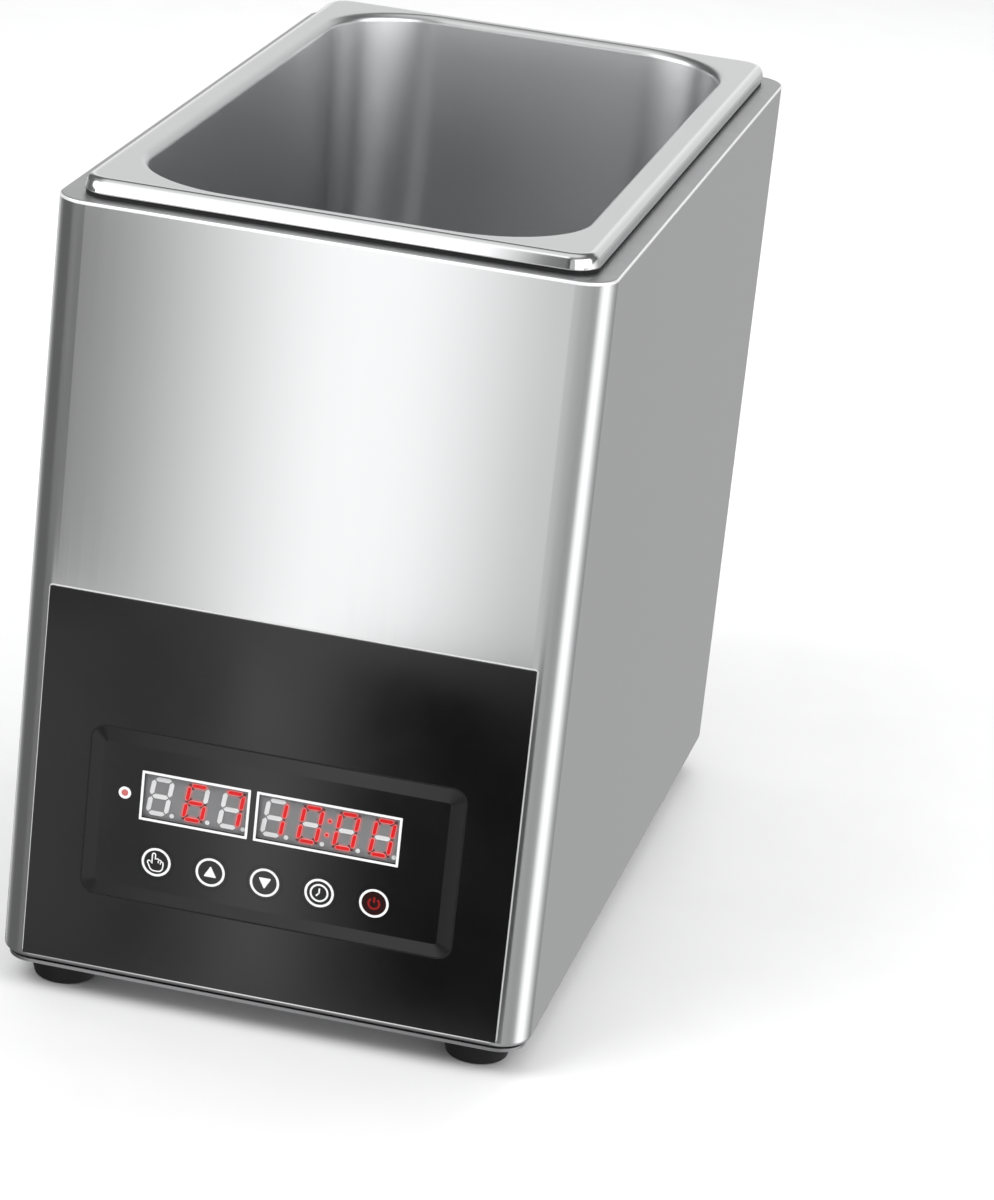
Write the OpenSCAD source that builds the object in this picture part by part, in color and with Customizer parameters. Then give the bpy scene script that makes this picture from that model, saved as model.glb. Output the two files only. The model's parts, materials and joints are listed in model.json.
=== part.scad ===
// Counter-top egg boiler: a stainless steel box that holds a lift-out gastronorm pan in a heated well,
// with a film control panel on the lower front. Millimetres, +Z up, front towards -Y, feet at z = 0.

/* [Body] */
// From the pan's rim out to the body's side faces
deck_side = 7; // [6.5:0.5:30]
// From the pan's rim out to the body's front and rear faces
deck_end = 5.5; // [4.5:0.5:30]
// Clearance between the control board and the heat shield above it
board_clear = 8; // [4:1:60]
// Radius of the four upright corners
corner_r = 12; // [9:0.5:16]
// Thickness of the body sheet
sheet_t = 1; // [0.8:0.1:1.2]
// Outer radius of the bend along the lower edge
bend_r = 2; // [1.6:0.1:3]
// Width of the in-turned lip along the lower edge, from the outer face
lip_w = 15; // [13:0.5:17]
// Thickness of the deck plate
deck_t = 1.2; // [1:0.1:1.5]
// Radius of the deck's outer edge
deck_edge_r = 0.8; // [0.4:0.1:1]
// Depth of the deck's skirt inside the body
skirt_h = 9; // [5:0.5:11]
// Clearance between the skirt and the body sheet
skirt_gap = 0.1; // [0.05:0.05:0.3]

/* [Pan] */
// Width of the pan over its rim
pan_w = 176; // [162:1:325]
// Length of the pan over its rim
pan_l = 325; // [300:1:354]
// Height of the pan from its underside to the top of its rim
pan_depth = 150; // [100:5:200]
// Thickness of the pan's sheet
pan_t = 0.8; // [0.6:0.1:1]
// Height of the rim's turned-down edge
rim_h = 5.3; // [4.5:0.1:7]
// Outer radius of the rim's corners
rim_corner_r = 10; // [7:0.5:14]
// Radius where the rim turns down
rim_roll_r = 2.2; // [1.5:0.1:3]
// Thickness of the folded hem at the foot of the rim
hem_t = 1.8; // [1.7:0.1:2.5]
// Height of the folded hem
hem_h = 2; // [1.2:0.1:2.4]
// From the rim's edge to the inside of the wall, at the long sides
rim_side = 12; // [11:0.5:15]
// From the rim's edge to the inside of the wall, at the ends
rim_end = 8.5; // [8:0.5:12]
// Radius of the opening's corners
well_r = 38; // [32:1:45]
// Radius where the flat of the rim turns into the wall
lead_r = 3; // [2:0.25:3.5]
// How far each wall leans in from top to bottom
wall_lean = 7; // [3:0.5:12]
// Inside radius between the walls and the floor
floor_r = 18; // [10:1:19]

/* [Seal and well] */
// Thickness of the rim seal under the pan
seal_t = 1.5; // [1:0.1:2.5]
// From the rim's edge in to the seal's edge
seal_inset = 0.6; // [0.2:0.1:1.2]
// Depth of the seal's lip inside the deck opening
seal_lip_h = 4; // [3:0.5:6]
// Thickness of the seal's lip
seal_lip_t = 1.1; // [0.8:0.1:1.4]
// Clearance between the pan's wall and the deck opening
deck_gap = 2.7; // [2.4:0.1:3]
// From the deck opening out to the well's wall
liner_gap = 1.5; // [1:0.1:2]
// Thickness of the well's sheet
liner_t = 0.8; // [0.6:0.1:1]
// Clearance between the pan's underside and the well's floor
pan_gap = 1; // [0.5:0.1:3]
// Clearance between the well's flange and the deck's skirt
flange_gap = 0.6; // [0.3:0.1:1]

/* [Heater] */
// Width of the heater plate
plate_w = 120; // [118:1:130]
// Length of the heater plate
plate_l = 250; // [244:1:262]
// Thickness of the heater plate
plate_t = 6; // [5:0.5:8]
// Radius of the tubular heating element
element_r = 3.3; // [2.8:0.1:4]
// Distance between the element's straight runs
run_pitch = 30; // [28:1:31]
// Length of the element's straight runs
run_l = 196; // [180:2:200]
// Radius of the bends that lead the element's ends down
leg_bend_r = 12; // [10:1:16]
// Clearance of the element in its grooves
groove_gap = 0.1; // [0.05:0.05:0.2]
// Width of a clamp bar
clamp_w = 14; // [12:1:18]
// Thickness of a clamp bar
clamp_t = 2; // [1.5:0.5:3]
// Distance of each clamp bar from the middle of the plate
clamp_y = 60; // [50:1:68]
// Room under the heater plate, down to the heat shield
heater_room = 30; // [28:1:32]
// Thickness of the heat shield's sheet
shield_t = 0.8; // [0.6:0.1:1]
// Clearance between the shield and the well
shield_gap = 0.25; // [0.2:0.05:0.4]
// How far the shield reaches up the well's wall
shield_grip = 12; // [8:1:20]
// Thickness of the mineral wool round the well
wool_t = 5.5; // [4:0.5:6]
// Thickness of the insulating pad under the heater
pad_t = 11; // [8:1:12]

/* [Control panel] */
// From the body's side faces in to the panel film
film_side = 10; // [8:0.5:18]
// Height of the panel film
film_h = 136; // [125:1:150]
// From the body's lower edge up to the film
film_z = 2.2; // [2:0.1:10]
// Thickness of the panel film
film_t = 0.4; // [0.3:0.05:0.6]
// Width of the embossed field round the controls
field_w = 132; // [126:1:138]
// Height of the embossed field
field_h = 62; // [58:1:70]
// Height of the embossed field's middle above the body's lower edge
field_z = 60.5; // [58:0.5:64]
// Width of the field's sloping border
field_slope = 5; // [3:0.5:6]
// Corner radius of the embossed field
field_r = 5; // [3:0.5:5.5]
// How far the embossed field stands out
field_rise = 0.7; // [0.4:0.1:1]
// Side shift of the temperature display from the middle
temp_x = -27.75; // [-29:0.25:-27]
// Side shift of the timer display from the middle
timer_x = 19.35; // [18.5:0.25:20.5]
// Height of both displays above the body's lower edge
display_z = 69; // [68:0.5:72]
// Width of one digit's place
digit_pitch = 12.7; // [12:0.1:12.8]
// Height of a digit
digit_h = 14.2; // [12:0.1:14.4]
// Width of a digit
digit_w = 8; // [7:0.1:8.4]
// Width of a segment
segment_w = 1.6; // [1.2:0.1:2]
// Sideways lean of the digits, per unit of height
digit_slant = 0.13; // [0:0.01:0.16]
// Clear border between the end digits' places and the window's edge
window_border = 0.6; // [0.4:0.1:0.8]
// Height of the windows
window_h = 16.4; // [15.5:0.1:17.5]
// Height of the display modules
module_h = 19; // [18:0.1:20]
// Place of the three-digit number: blank, 6, 7
temp_digits = [10, 6, 7];
// Place of the four-digit number: 1, 0, 0, 0
timer_digits = [1, 0, 0, 0];
// Side shift of the middle key
keys_x = -0.8; // [-1:0.1:1]
// Distance between the keys
key_pitch = 19.4; // [18:0.1:20]
// Height of the keys above the body's lower edge
key_z = 45.3; // [44:0.1:47]
// Radius of a key
key_r = 6.2; // [5.6:0.1:6.8]
// Clearance round a key
key_gap = 0.1; // [0.05:0.05:0.2]
// Travel of a key
key_travel = 0.4; // [0.2:0.05:0.5]
// Side shift of the heating lamp
led_x = -52.7; // [-54:0.1:-52]
// Radius of the heating lamp
led_r = 1.6; // [1.2:0.1:2]

/* [Electronics] */
// Width of the control board
pcb_w = 126; // [124:1:134]
// Height of the control board
pcb_h = 51; // [50:0.5:53]
// Height of the control board's middle above the body's lower edge
pcb_z = 58.5; // [58:0.25:59]
// Thickness of the circuit boards
pcb_t = 1.6; // [1.2:0.2:2]
// From the outer face of the front sheet back to the control board
pcb_back = 10; // [9:0.5:12]
// Width of the power board
board_w = 104; // [102:1:112]
// Length of the power board
board_l = 86; // [80:1:96]
// From the middle of the body back to the middle of the power board
board_y = 30; // [20:1:40]
// Height of the spacers under the power board
spacer_h = 8; // [6:0.5:10]
// Radius of a spacer
spacer_r = 2.75; // [2.6:0.05:3]
// Radius of the small screws
small_r = 1.45; // [1.2:0.05:1.5]
// Clearance round a screw's shank
screw_gap = 0.1; // [0.05:0.05:0.2]

/* [Base and feet] */
// Thickness of the base plate
base_t = 1.2; // [1:0.1:1.5]
// Height of the bosses that part the base plate from the body's lip
base_gap = 1; // [0.6:0.1:1.5]
// From the body's outer face in to the base plate's edge
base_inset = 2; // [1.5:0.1:2.5]
// Exposed height of the feet
foot_h = 9.8; // [8:0.2:16]
// Largest radius of a foot
foot_r = 13; // [10:0.5:14]
// Radius of a foot's lower end
foot_tip_r = 11; // [8.5:0.5:12]
// From the body's outer faces in to a foot's middle
foot_in = 20; // [20:0.5:26]
// Radius of the rounding at a foot's lower end
foot_edge_r = 1.5; // [0.5:0.25:2.5]
// Radius of the feet's screws
foot_screw_r = 2; // [1.75:0.05:2.2]
// Number of vent slots in each row
slots = 7; // [3:1:9]
// Length of a vent slot
slot_l = 36; // [20:1:40]
// Width of a vent slot
slot_w = 3; // [2:0.2:3.6]

/* [Cable gland] */
// Radius of the bore for the mains cord
gland_bore_r = 4.2; // [3:0.1:5]
// Radius of the gland's thread
gland_r = 8; // [7.5:0.1:10]
// From the gland's thread out to the corners of its hexagon
gland_flange = 3.8; // [3:0.1:6]
// Thickness of the gland's hexagon outside the sheet
gland_hex_t = 5; // [4:0.5:7]
// Length of the gland's dome outside the hexagon
gland_dome_l = 10; // [8:0.5:14]
// Side shift of the gland from the middle
gland_x = 50; // [40:1:60]
// Height of the gland above the body's lower edge
gland_z = 32; // [28:1:60]

/* [Hidden] */
$fn = 48;

// Levels from the feet up: boards, heater, well, pan and deck stand on each other
base_top = foot_h + base_t;
body_z = base_top + base_gap;
shield_z = body_z + pcb_z + pcb_h / 2 + board_clear;
pad_z = shield_z + shield_t;
plate_z = shield_z + heater_room;
clamp_z = plate_z - element_r - clamp_t;
liner_z = plate_z + plate_t;
pan_z = liner_z + liner_t + pan_gap;
rim_top = pan_z + pan_depth;
rim_z = rim_top - rim_h;
deck_z = rim_z - seal_t;

// The body's outline goes round the pan's rim
body_w = pan_w + 2 * deck_side;
body_d = pan_l + 2 * deck_end;
film_w = body_w - 2 * film_side;

// Depths: what stands out at the front and the rear sets the body's place
front_out = film_t + field_rise;
rear_out = gland_hex_t + gland_dome_l;
mid_y = (front_out - rear_out) / 2;
front_y = mid_y - body_d / 2;
rear_y = mid_y + body_d / 2;

// Outlines of the pan's opening, the deck's opening and the well
well_w = pan_w - 2 * rim_side;
well_l = pan_l - 2 * rim_end;
open_w = well_w + 2 * (pan_t + deck_gap);
open_l = well_l + 2 * (pan_t + deck_gap);
open_r = well_r + pan_t + deck_gap;
liner_w = open_w + 2 * liner_gap;
liner_l = open_l + 2 * liner_gap;
liner_r = open_r + liner_gap;
skirt_out = sheet_t + skirt_gap;
skirt_t = 1;
skirt_in = skirt_out + skirt_t;
flange_in = skirt_in + flange_gap;
shell_w = liner_w + 2 * (liner_t + shield_gap);
shell_l = liner_l + 2 * (liner_t + shield_gap);
shell_r = liner_r + liner_t + shield_gap;

// Heating element
runs = 4;
leg_y = -run_l / 2 - leg_bend_r;
leg_end = shield_z - 8;
leg_hole_r = element_r + 3.5;
pin_r = 1.8;
pin_l = 10;
end_run_x = run_pitch * (runs - 1) / 2;
stud_r = 2;
stud_l = plate_t + 5;
nut_t = 3.2;
nut_r = 4;
nut_clear = 1.5;
stud_x = end_run_x + element_r + nut_r + nut_clear;
stud_y = plate_l / 2 - 22;
probe_r = 3;
probe_l = 26;
probe_y = 84;
lead_wire_r = 1.5;
lead_dip = 4;
lead_bend = 8;
lead_z = 62;
rivet_pitch = 90;
rivet_head_r = 3;
rivet_head_h = 1;
cutout_r = 8;
cutout_h = 9;
cutout_ear = [12, 34];
cutout_ear_t = 1;
blade = [0.8, 6, 8];
blade_x = 4;
blade_root = 1;
clip_w = 18;
clip_l = 8;
clip_t = 1;
clip_end = 6;

// Panel
module_w3 = 3 * digit_pitch - 0.5;
module_w4 = 4 * digit_pitch - 0.5;
window_w3 = 3 * digit_pitch - 2 * window_border;
window_w4 = 4 * digit_pitch - 2 * window_border;
face_d = 0.3;
segment_t = 0.2;
segment_gap = 0.35;
point_r = 0.8;
colon_h = 2.6;
cut_gap = 0.2;
sheet_hole_r = key_r + 0.6;
stem_r = 1.7;
switch_w = 6;
switch_h = 3.6;
stem_dip = 1.2;
switch_clear = 0.4;
lamp_flange = 0.4;
lamp_flange_t = 1.5;
led_z = display_z - 0.3;
DIGITS = [
    [1, 1, 1, 1, 1, 1, 0], [0, 1, 1, 0, 0, 0, 0], [1, 1, 0, 1, 1, 0, 1], [1, 1, 1, 1, 0, 0, 1],
    [0, 1, 1, 0, 0, 1, 1], [1, 0, 1, 1, 0, 1, 1], [1, 0, 1, 1, 1, 1, 1], [1, 1, 1, 0, 0, 0, 0],
    [1, 1, 1, 1, 1, 1, 1], [1, 1, 1, 1, 0, 1, 1], [0, 0, 0, 0, 0, 0, 0]
];

// Boards
board_z = base_top + spacer_h;
board_top = board_z + pcb_t;
board_in = 5;
pcb_in = 4;
block_w = 10;
mains_block_w = 26;
mains_block_x = 22;
block_l = 12;
block_h = 13;
block_y = board_y - board_l / 2 + 20;
ribbon_w = 16;
ribbon_t = 1;
ribbon_x = -30;
ribbon_bend = 8;
header_t = 8;
header_h = 9;
header_in = 2;
header_wall = 1;
screw_head_h = 1.8;
core = [34, 16, 26];
coil = [22, 28, 20];
core_x = 22;
relay_size = [20, 16, 16];
relay_x = -24;
large_y = 18;

// Base
boss_r = 5;
tap_r = 1.7;
lip_screw_x = body_w / 2 - lip_w / 2;
lip_screw_end = 55;
lip_screw_y = [-body_d / 2 + lip_screw_end, 0, body_d / 2 - lip_screw_end];
base_head_r = 3.2;
tap_over = 4;
slot_y = [-70, 95];
slot_pitch = 11;
head_r = 3.8;
head_h = 2.2;
foot_bore_r = 5.5;
foot_bore_h = 4.5;
foot_band = 2;
thread_over = 1;

// Gland
gland_key_r = gland_r + 1.3;
gland_wall = 1.4;
gland_cone_h = 4;
gland_thread_l = 8;
gland_nut_t = 5;
gland_nut_flange = 3.3;

// Points along an arc round c, from angle a0 to a1 in n steps
function arc(c, r, a0, a1, n) = [
    for (i = [0:n]) let (a = a0 + (a1 - a0) * i / n) [c.x + r * cos(a), c.y + r * sin(a)]
];

// Rectangle with round corners, drawn about its middle
module rrect(w, l, r) {
    square([w - 2 * r, l], center = true);
    square([w, l - 2 * r], center = true);
    for (x = [-1, 1], y = [-1, 1])
        translate([x * (w / 2 - r), y * (l / 2 - r)]) circle(r);
}

// Frame between two outlines with round corners
module rframe(w, l, r, in_w, in_l, in_r) {
    difference() {
        rrect(w, l, r);
        rrect(in_w, in_l, in_r);
    }
}

// Carries a section round a rectangle with round corners. The section's x is measured
// outwards from the corner's centre, so its outer edge lies at x = r.
module round_sweep(w, l, r) {
    for (k = [0:3]) {
        hx = (k % 2 == 0 ? w : l) / 2 - r;
        hy = (k % 2 == 0 ? l : w) / 2 - r;
        rotate([0, 0, 90 * k]) translate([hx, hy, 0]) {
            rotate_extrude(angle = 90) children();
            rotate([90, 0, 0]) linear_extrude(2 * hy) children();
        }
    }
}

// Puts a shape on the body's middle line at height z
module at(z) {
    translate([0, mid_y, z]) children();
}

// Extrudes a drawing of the front, in x and height above the body's lower edge, from
// depth d0 to depth d1 behind the front sheet's outer face
module front(d0, d1) {
    translate([0, front_y + d1, body_z]) rotate([90, 0, 0]) linear_extrude(d1 - d0) children();
}

module key_places() {
    for (k = [-2:2]) translate([keys_x + k * key_pitch, key_z]) children();
}

// Section of the body sheet: wall, bend and the start of the lip
function wall_section() = concat(
    [[corner_r - sheet_t, deck_z - deck_t], [corner_r, deck_z - deck_t]],
    arc([corner_r - bend_r, body_z + bend_r], bend_r, 0, -90, 8),
    arc([corner_r - bend_r, body_z + bend_r], bend_r - sheet_t, -90, 0, 6)
);

module lip_screw_places() {
    for (x = [-1, 1], y = lip_screw_y) translate([x * lip_screw_x, y, 0]) children();
}

module body_shell() color([0.78, 0.79, 0.8]) difference() {
    union() {
        at(0) round_sweep(body_w, body_d, corner_r) polygon(wall_section());
        at(body_z) linear_extrude(sheet_t) rframe(
            body_w - 2 * bend_r, body_d - 2 * bend_r, corner_r - bend_r,
            body_w - 2 * lip_w, body_d - 2 * lip_w, corner_r / 2
        );
    }
    front(-1, sheet_t + 1) {
        translate([temp_x, display_z]) square([module_w3, module_h] + 2 * [cut_gap, cut_gap], center = true);
        translate([timer_x, display_z]) square([module_w4, module_h] + 2 * [cut_gap, cut_gap], center = true);
        translate([led_x, led_z]) circle(led_r + cut_gap);
        key_places() circle(sheet_hole_r);
    }
    at(body_z - 1) lip_screw_places() cylinder(r = tap_r + screw_gap, h = sheet_t + 2);
    at_gland() translate([0, 0, -sheet_t - 1])
        cylinder(r = gland_key_r + screw_gap, h = sheet_t + 2, $fn = 6);
}

// Section of the deck's outer border, from the corner's centre to the rounded edge
function deck_section() = concat(
    [[0, deck_z], [0, deck_z - deck_t], [corner_r, deck_z - deck_t]],
    arc([corner_r - deck_edge_r, deck_z - deck_edge_r], deck_edge_r, 0, 90, 5)
);

module top_deck() color([0.8, 0.81, 0.82]) {
    difference() {
        union() {
            at(0) round_sweep(body_w, body_d, corner_r) polygon(deck_section());
            at(deck_z - deck_t) linear_extrude(deck_t)
                square([body_w - 2 * corner_r, body_d - 2 * corner_r], center = true);
        }
        at(deck_z - deck_t - 1) linear_extrude(deck_t + 2) rrect(open_w, open_l, open_r);
    }
    at(deck_z - deck_t - skirt_h) linear_extrude(skirt_h) rframe(
        body_w - 2 * skirt_out, body_d - 2 * skirt_out, corner_r - skirt_out,
        body_w - 2 * skirt_in, body_d - 2 * skirt_in, corner_r - skirt_in
    );
}

module rim_seal() color([0.08, 0.08, 0.09]) {
    at(deck_z) linear_extrude(seal_t) rframe(
        pan_w - 2 * seal_inset, pan_l - 2 * seal_inset, rim_corner_r - seal_inset,
        open_w - 2 * seal_lip_t, open_l - 2 * seal_lip_t, open_r - seal_lip_t
    );
    at(deck_z - seal_lip_h) linear_extrude(seal_lip_h) rframe(
        open_w - 2 * cut_gap, open_l - 2 * cut_gap, open_r - cut_gap,
        open_w - 2 * seal_lip_t, open_l - 2 * seal_lip_t, open_r - seal_lip_t
    );
}

// Section of the pan's bowl, from the flat of the rim down the wall and the floor's fillet
function bowl_section() = let (
    turn = [well_r + lead_r, -lead_r],
    heel = [well_r - wall_lean - floor_r, floor_r + pan_t - pan_depth]
) concat(
    arc(turn, lead_r, 90, 180, 8),
    arc(heel, floor_r, 0, -90, 12),
    arc(heel, floor_r + pan_t, -90, 0, 12),
    arc(turn, lead_r - pan_t, 180, 90, 8)
);

// Section of the rim's rolled edge with its folded hem
function rim_section() = let (
    roll = [rim_corner_r - rim_roll_r, -rim_roll_r],
    toe = 0.4
) concat(
    arc(roll, rim_roll_r, 90, 0, 8),
    arc([rim_corner_r - toe, toe - rim_h], toe, 0, -90, 3),
    arc([rim_corner_r - hem_t + toe, toe - rim_h], toe, -90, -180, 3),
    [[rim_corner_r - hem_t, hem_h - rim_h], [rim_corner_r - pan_t, hem_h - rim_h]],
    arc(roll, rim_roll_r - pan_t, 0, 90, 8)
);

module pan() color([0.72, 0.73, 0.74]) at(rim_top) {
    heel_r = well_r - wall_lean - floor_r;
    round_sweep(well_w, well_l, well_r) polygon(bowl_section());
    round_sweep(pan_w, pan_l, rim_corner_r) polygon(rim_section());
    translate([0, 0, -pan_t]) linear_extrude(pan_t) rframe(
        pan_w - 2 * rim_roll_r, pan_l - 2 * rim_roll_r, rim_corner_r - rim_roll_r,
        well_w + 2 * lead_r, well_l + 2 * lead_r, well_r + lead_r
    );
    translate([0, 0, -pan_depth]) linear_extrude(pan_t)
        rrect(well_w - 2 * (well_r - heel_r), well_l - 2 * (well_r - heel_r), heel_r);
}

module stud_places() {
    for (x = [-1, 1], y = [-1, 0, 1]) translate([x * stud_x, y * stud_y, 0]) children();
}

module well_liner() color([0.66, 0.67, 0.68]) {
    wall_top = deck_z - deck_t;
    at(liner_z) linear_extrude(wall_top - liner_z) rframe(
        liner_w + 2 * liner_t, liner_l + 2 * liner_t, liner_r + liner_t,
        liner_w, liner_l, liner_r
    );
    at(liner_z) linear_extrude(liner_t) rrect(liner_w, liner_l, liner_r);
    at(wall_top - liner_t) linear_extrude(liner_t) rframe(
        body_w - 2 * flange_in, body_d - 2 * flange_in, corner_r - skirt_in,
        liner_w, liner_l, liner_r
    );
    at(liner_z - stud_l) stud_places() cylinder(r = stud_r, h = stud_l);
}

// The element's path as a tube of radius r: straight runs, bends between them and two end legs
module element_path(r) {
    at(plate_z) {
        for (k = [0:runs - 1]) translate([k * run_pitch - end_run_x, run_l / 2, 0])
            rotate([90, 0, 0]) cylinder(r = r, h = run_l);
        for (k = [0:runs - 2]) rotate([0, 0, k % 2 == 0 ? 0 : 180])
            translate([(k % 2 == 0 ? 1 : -1) * ((k + 0.5) * run_pitch - end_run_x), run_l / 2, 0])
                rotate_extrude(angle = 180) translate([run_pitch / 2, 0]) circle(r);
        for (x = [-1, 1]) translate([x * end_run_x, -run_l / 2, -leg_bend_r]) rotate([0, -90, 0]) {
            rotate([0, 0, -90]) rotate_extrude(angle = 90) translate([leg_bend_r, 0]) circle(r);
            translate([-(plate_z - leg_bend_r - leg_end), -leg_bend_r, 0]) rotate([0, 90, 0])
                cylinder(r = r, h = plate_z - leg_bend_r - leg_end);
        }
    }
}

module heating_element() color([0.5, 0.51, 0.52]) element_path(element_r);

module leg_places() {
    for (x = [-1, 1]) translate([x * end_run_x, leg_y, 0]) children();
}

module element_terminals() color([0.75, 0.68, 0.4]) at(leg_end - pin_l) leg_places()
    cylinder(r = pin_r, h = pin_l);

module heater_plate() color([0.75, 0.76, 0.78]) difference() {
    at(plate_z) linear_extrude(plate_t) rrect(plate_w, plate_l, 8);
    element_path(element_r + groove_gap);
    at(plate_z - 1) stud_places() cylinder(r = stud_r + screw_gap, h = plate_t + 2);
    at(plate_z - 1) clamp_screw_places() cylinder(r = stud_r + screw_gap, h = plate_t);
}

module clamp_screw_places() {
    for (x = [-1, 1], y = [-1, 1]) translate([x * run_pitch, y * clamp_y, 0]) children();
}

module clamp_bars() color([0.6, 0.61, 0.62]) difference() {
    at(clamp_z) for (y = [-1, 1]) translate([0, y * clamp_y, clamp_t / 2])
        cube([plate_w - 4, clamp_w, clamp_t], center = true);
    at(clamp_z - 1) clamp_screw_places() cylinder(r = stud_r + screw_gap, h = clamp_t + 2);
}

module clamp_screws() color([0.55, 0.55, 0.56]) at(clamp_z) clamp_screw_places() {
    translate([0, 0, -head_h]) cylinder(r = head_r, h = head_h);
    cylinder(r = stud_r, h = clamp_t + element_r + plate_t - 2);
}

module plate_nuts() color([0.55, 0.55, 0.56]) at(plate_z - nut_t) stud_places() difference() {
    cylinder(r = nut_r, h = nut_t, $fn = 6);
    translate([0, 0, -1]) cylinder(r = stud_r + screw_gap, h = nut_t + 2);
}

module insulation_wrap() color([0.85, 0.8, 0.6]) {
    wrap_z = liner_z + shield_grip + 2;
    wrap_top = deck_z - deck_t - skirt_h - 2;
    at(wrap_z) linear_extrude(wrap_top - wrap_z) rframe(
        shell_w + 2 * wool_t, shell_l + 2 * wool_t, shell_r + wool_t,
        shell_w, shell_l, shell_r
    );
}

module insulation_pad() color([0.85, 0.8, 0.6]) difference() {
    at(pad_z) linear_extrude(pad_t) rrect(shell_w - 1, shell_l - 1, shell_r - 0.5);
    at(pad_z - 1) leg_places() cylinder(r = leg_hole_r, h = pad_t + 2);
    at(pad_z - 1) translate([0, probe_y - lead_bend, 0]) cylinder(r = leg_hole_r, h = pad_t + 2);
}

module heat_shield() color([0.7, 0.71, 0.72]) difference() {
    union() {
        at(shield_z) linear_extrude(shield_t)
            rrect(shell_w + 2 * shield_t, shell_l + 2 * shield_t, shell_r + shield_t);
        at(shield_z) linear_extrude(liner_z + shield_grip - shield_z) rframe(
            shell_w + 2 * shield_t, shell_l + 2 * shield_t, shell_r + shield_t,
            shell_w, shell_l, shell_r
        );
    }
    at(shield_z - 1) leg_places() cylinder(r = leg_hole_r, h = shield_t + 2);
    at(shield_z - 1) translate([0, probe_y - lead_bend, 0]) cylinder(r = leg_hole_r, h = shield_t + 2);
    rivet_places(shell_w / 2 - 1) cylinder(r = small_r + screw_gap, h = shield_t + 2);
}

// Rivet places on both long sides, each drawn outwards along +Z from distance x
module rivet_places(x) {
    at(liner_z + shield_grip / 2) for (s = [0, 180], k = [-1:1])
        rotate([0, 0, s]) translate([x, k * rivet_pitch, 0]) rotate([0, 90, 0]) children();
}

module shield_rivets() color([0.6, 0.6, 0.62]) rivet_places(liner_w / 2 + liner_t) {
    cylinder(r = small_r, h = shield_gap + shield_t);
    translate([0, 0, shield_gap + shield_t])
        cylinder(r1 = rivet_head_r, r2 = rivet_head_r - rivet_head_h, h = rivet_head_h);
}

module thermal_cutout() color([0.2, 0.2, 0.22]) at(plate_z) {
    translate([0, 0, -cutout_ear_t]) linear_extrude(cutout_ear_t) square(cutout_ear, center = true);
    translate([0, 0, -cutout_h]) cylinder(r = cutout_r, h = cutout_h);
    for (x = [-1, 1]) translate([x * blade_x, 0, blade_root - cutout_h - blade.z / 2])
        cube(blade, center = true);
}

module temperature_probe() color([0.8, 0.8, 0.82]) at(plate_z - probe_r)
    translate([0, probe_y + probe_l, 0]) rotate([90, 0, 0]) cylinder(r = probe_r, h = probe_l);

// Clip over the probe: two ears against the plate and a bow round the probe
module probe_clip() color([0.62, 0.63, 0.64]) at(plate_z) translate([0, probe_y + probe_l - clip_end, 0])
    rotate([90, 0, 0]) linear_extrude(clip_l) difference() {
        bore_r = probe_r + screw_gap;
        union() {
            translate([-clip_w / 2, -clip_t]) square([clip_w, clip_t]);
            translate([0, -probe_r]) circle(bore_r + clip_t);
        }
        translate([0, -probe_r]) circle(bore_r);
        translate([-clip_w, 0]) square([2 * clip_w, 2 * probe_r]);
        translate([-bore_r, -probe_r]) square([2 * bore_r, 2 * probe_r]);
    }

// Outline of the embossed field, drawn in by a border
module field_outline(border) {
    translate([0, field_z])
        rrect(field_w - 2 * border, field_h - 2 * border, max(field_r - border, 1));
}

module front_overlay() color([0.09, 0.09, 0.1]) difference() {
    union() {
        front(-film_t, 0) translate([0, film_z + film_h / 2]) square([film_w, film_h], center = true);
        hull() {
            front(-film_t, -film_t / 2) field_outline(0, $fn = 32);
            front(-front_out, -film_t) field_outline(field_slope, $fn = 32);
        }
    }
    front(-front_out - 1, 1) {
        translate([temp_x, display_z]) square([window_w3, window_h], center = true);
        translate([timer_x, display_z]) square([window_w4, window_h], center = true);
        translate([led_x, led_z]) circle(led_r + key_gap);
        key_places() circle(key_r + key_gap);
    }
}

module display_window(x, w) {
    front(-front_out, 0) translate([x, display_z]) square([w - key_gap, window_h - key_gap], center = true);
}

module temp_window() color([0.6, 0.6, 0.62, 0.4]) display_window(temp_x, window_w3);

module timer_window() color([0.6, 0.6, 0.62, 0.4]) display_window(timer_x, window_w4);

module display_body(x, w) {
    front(face_d, pcb_back) translate([x, display_z]) square([w, module_h], center = true);
}

module temp_display() color([0.45, 0.45, 0.46]) display_body(temp_x, module_w3);

module timer_display() color([0.45, 0.45, 0.46]) display_body(timer_x, module_w4);

function slant(p) = [p.x + digit_slant * p.y, p.y];

// Pointed bar between two points of a digit, with the digits' lean
module bar(a, b) {
    dir = (b - a) / norm(b - a);
    side = [-dir.y, dir.x] * segment_w / 2;
    tip = dir * segment_w / 2;
    p = a + dir * segment_gap;
    q = b - dir * segment_gap;
    polygon([for (v = [p, p + tip + side, q - tip + side, q, q - tip - side, p + tip - side]) slant(v)]);
}

// Segment s of a digit, in the order top, upper right, lower right, foot, lower left, upper left, middle
module segment(s) {
    x = (digit_w - segment_w) / 2;
    y = (digit_h - segment_w) / 2;
    if (s == 0) bar([-x, y], [x, y]);
    if (s == 1) bar([x, 0], [x, y]);
    if (s == 2) bar([x, -y], [x, 0]);
    if (s == 3) bar([-x, -y], [x, -y]);
    if (s == 4) bar([-x, -y], [-x, 0]);
    if (s == 5) bar([-x, 0], [-x, y]);
    if (s == 6) bar([-x, 0], [x, 0]);
}

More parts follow.
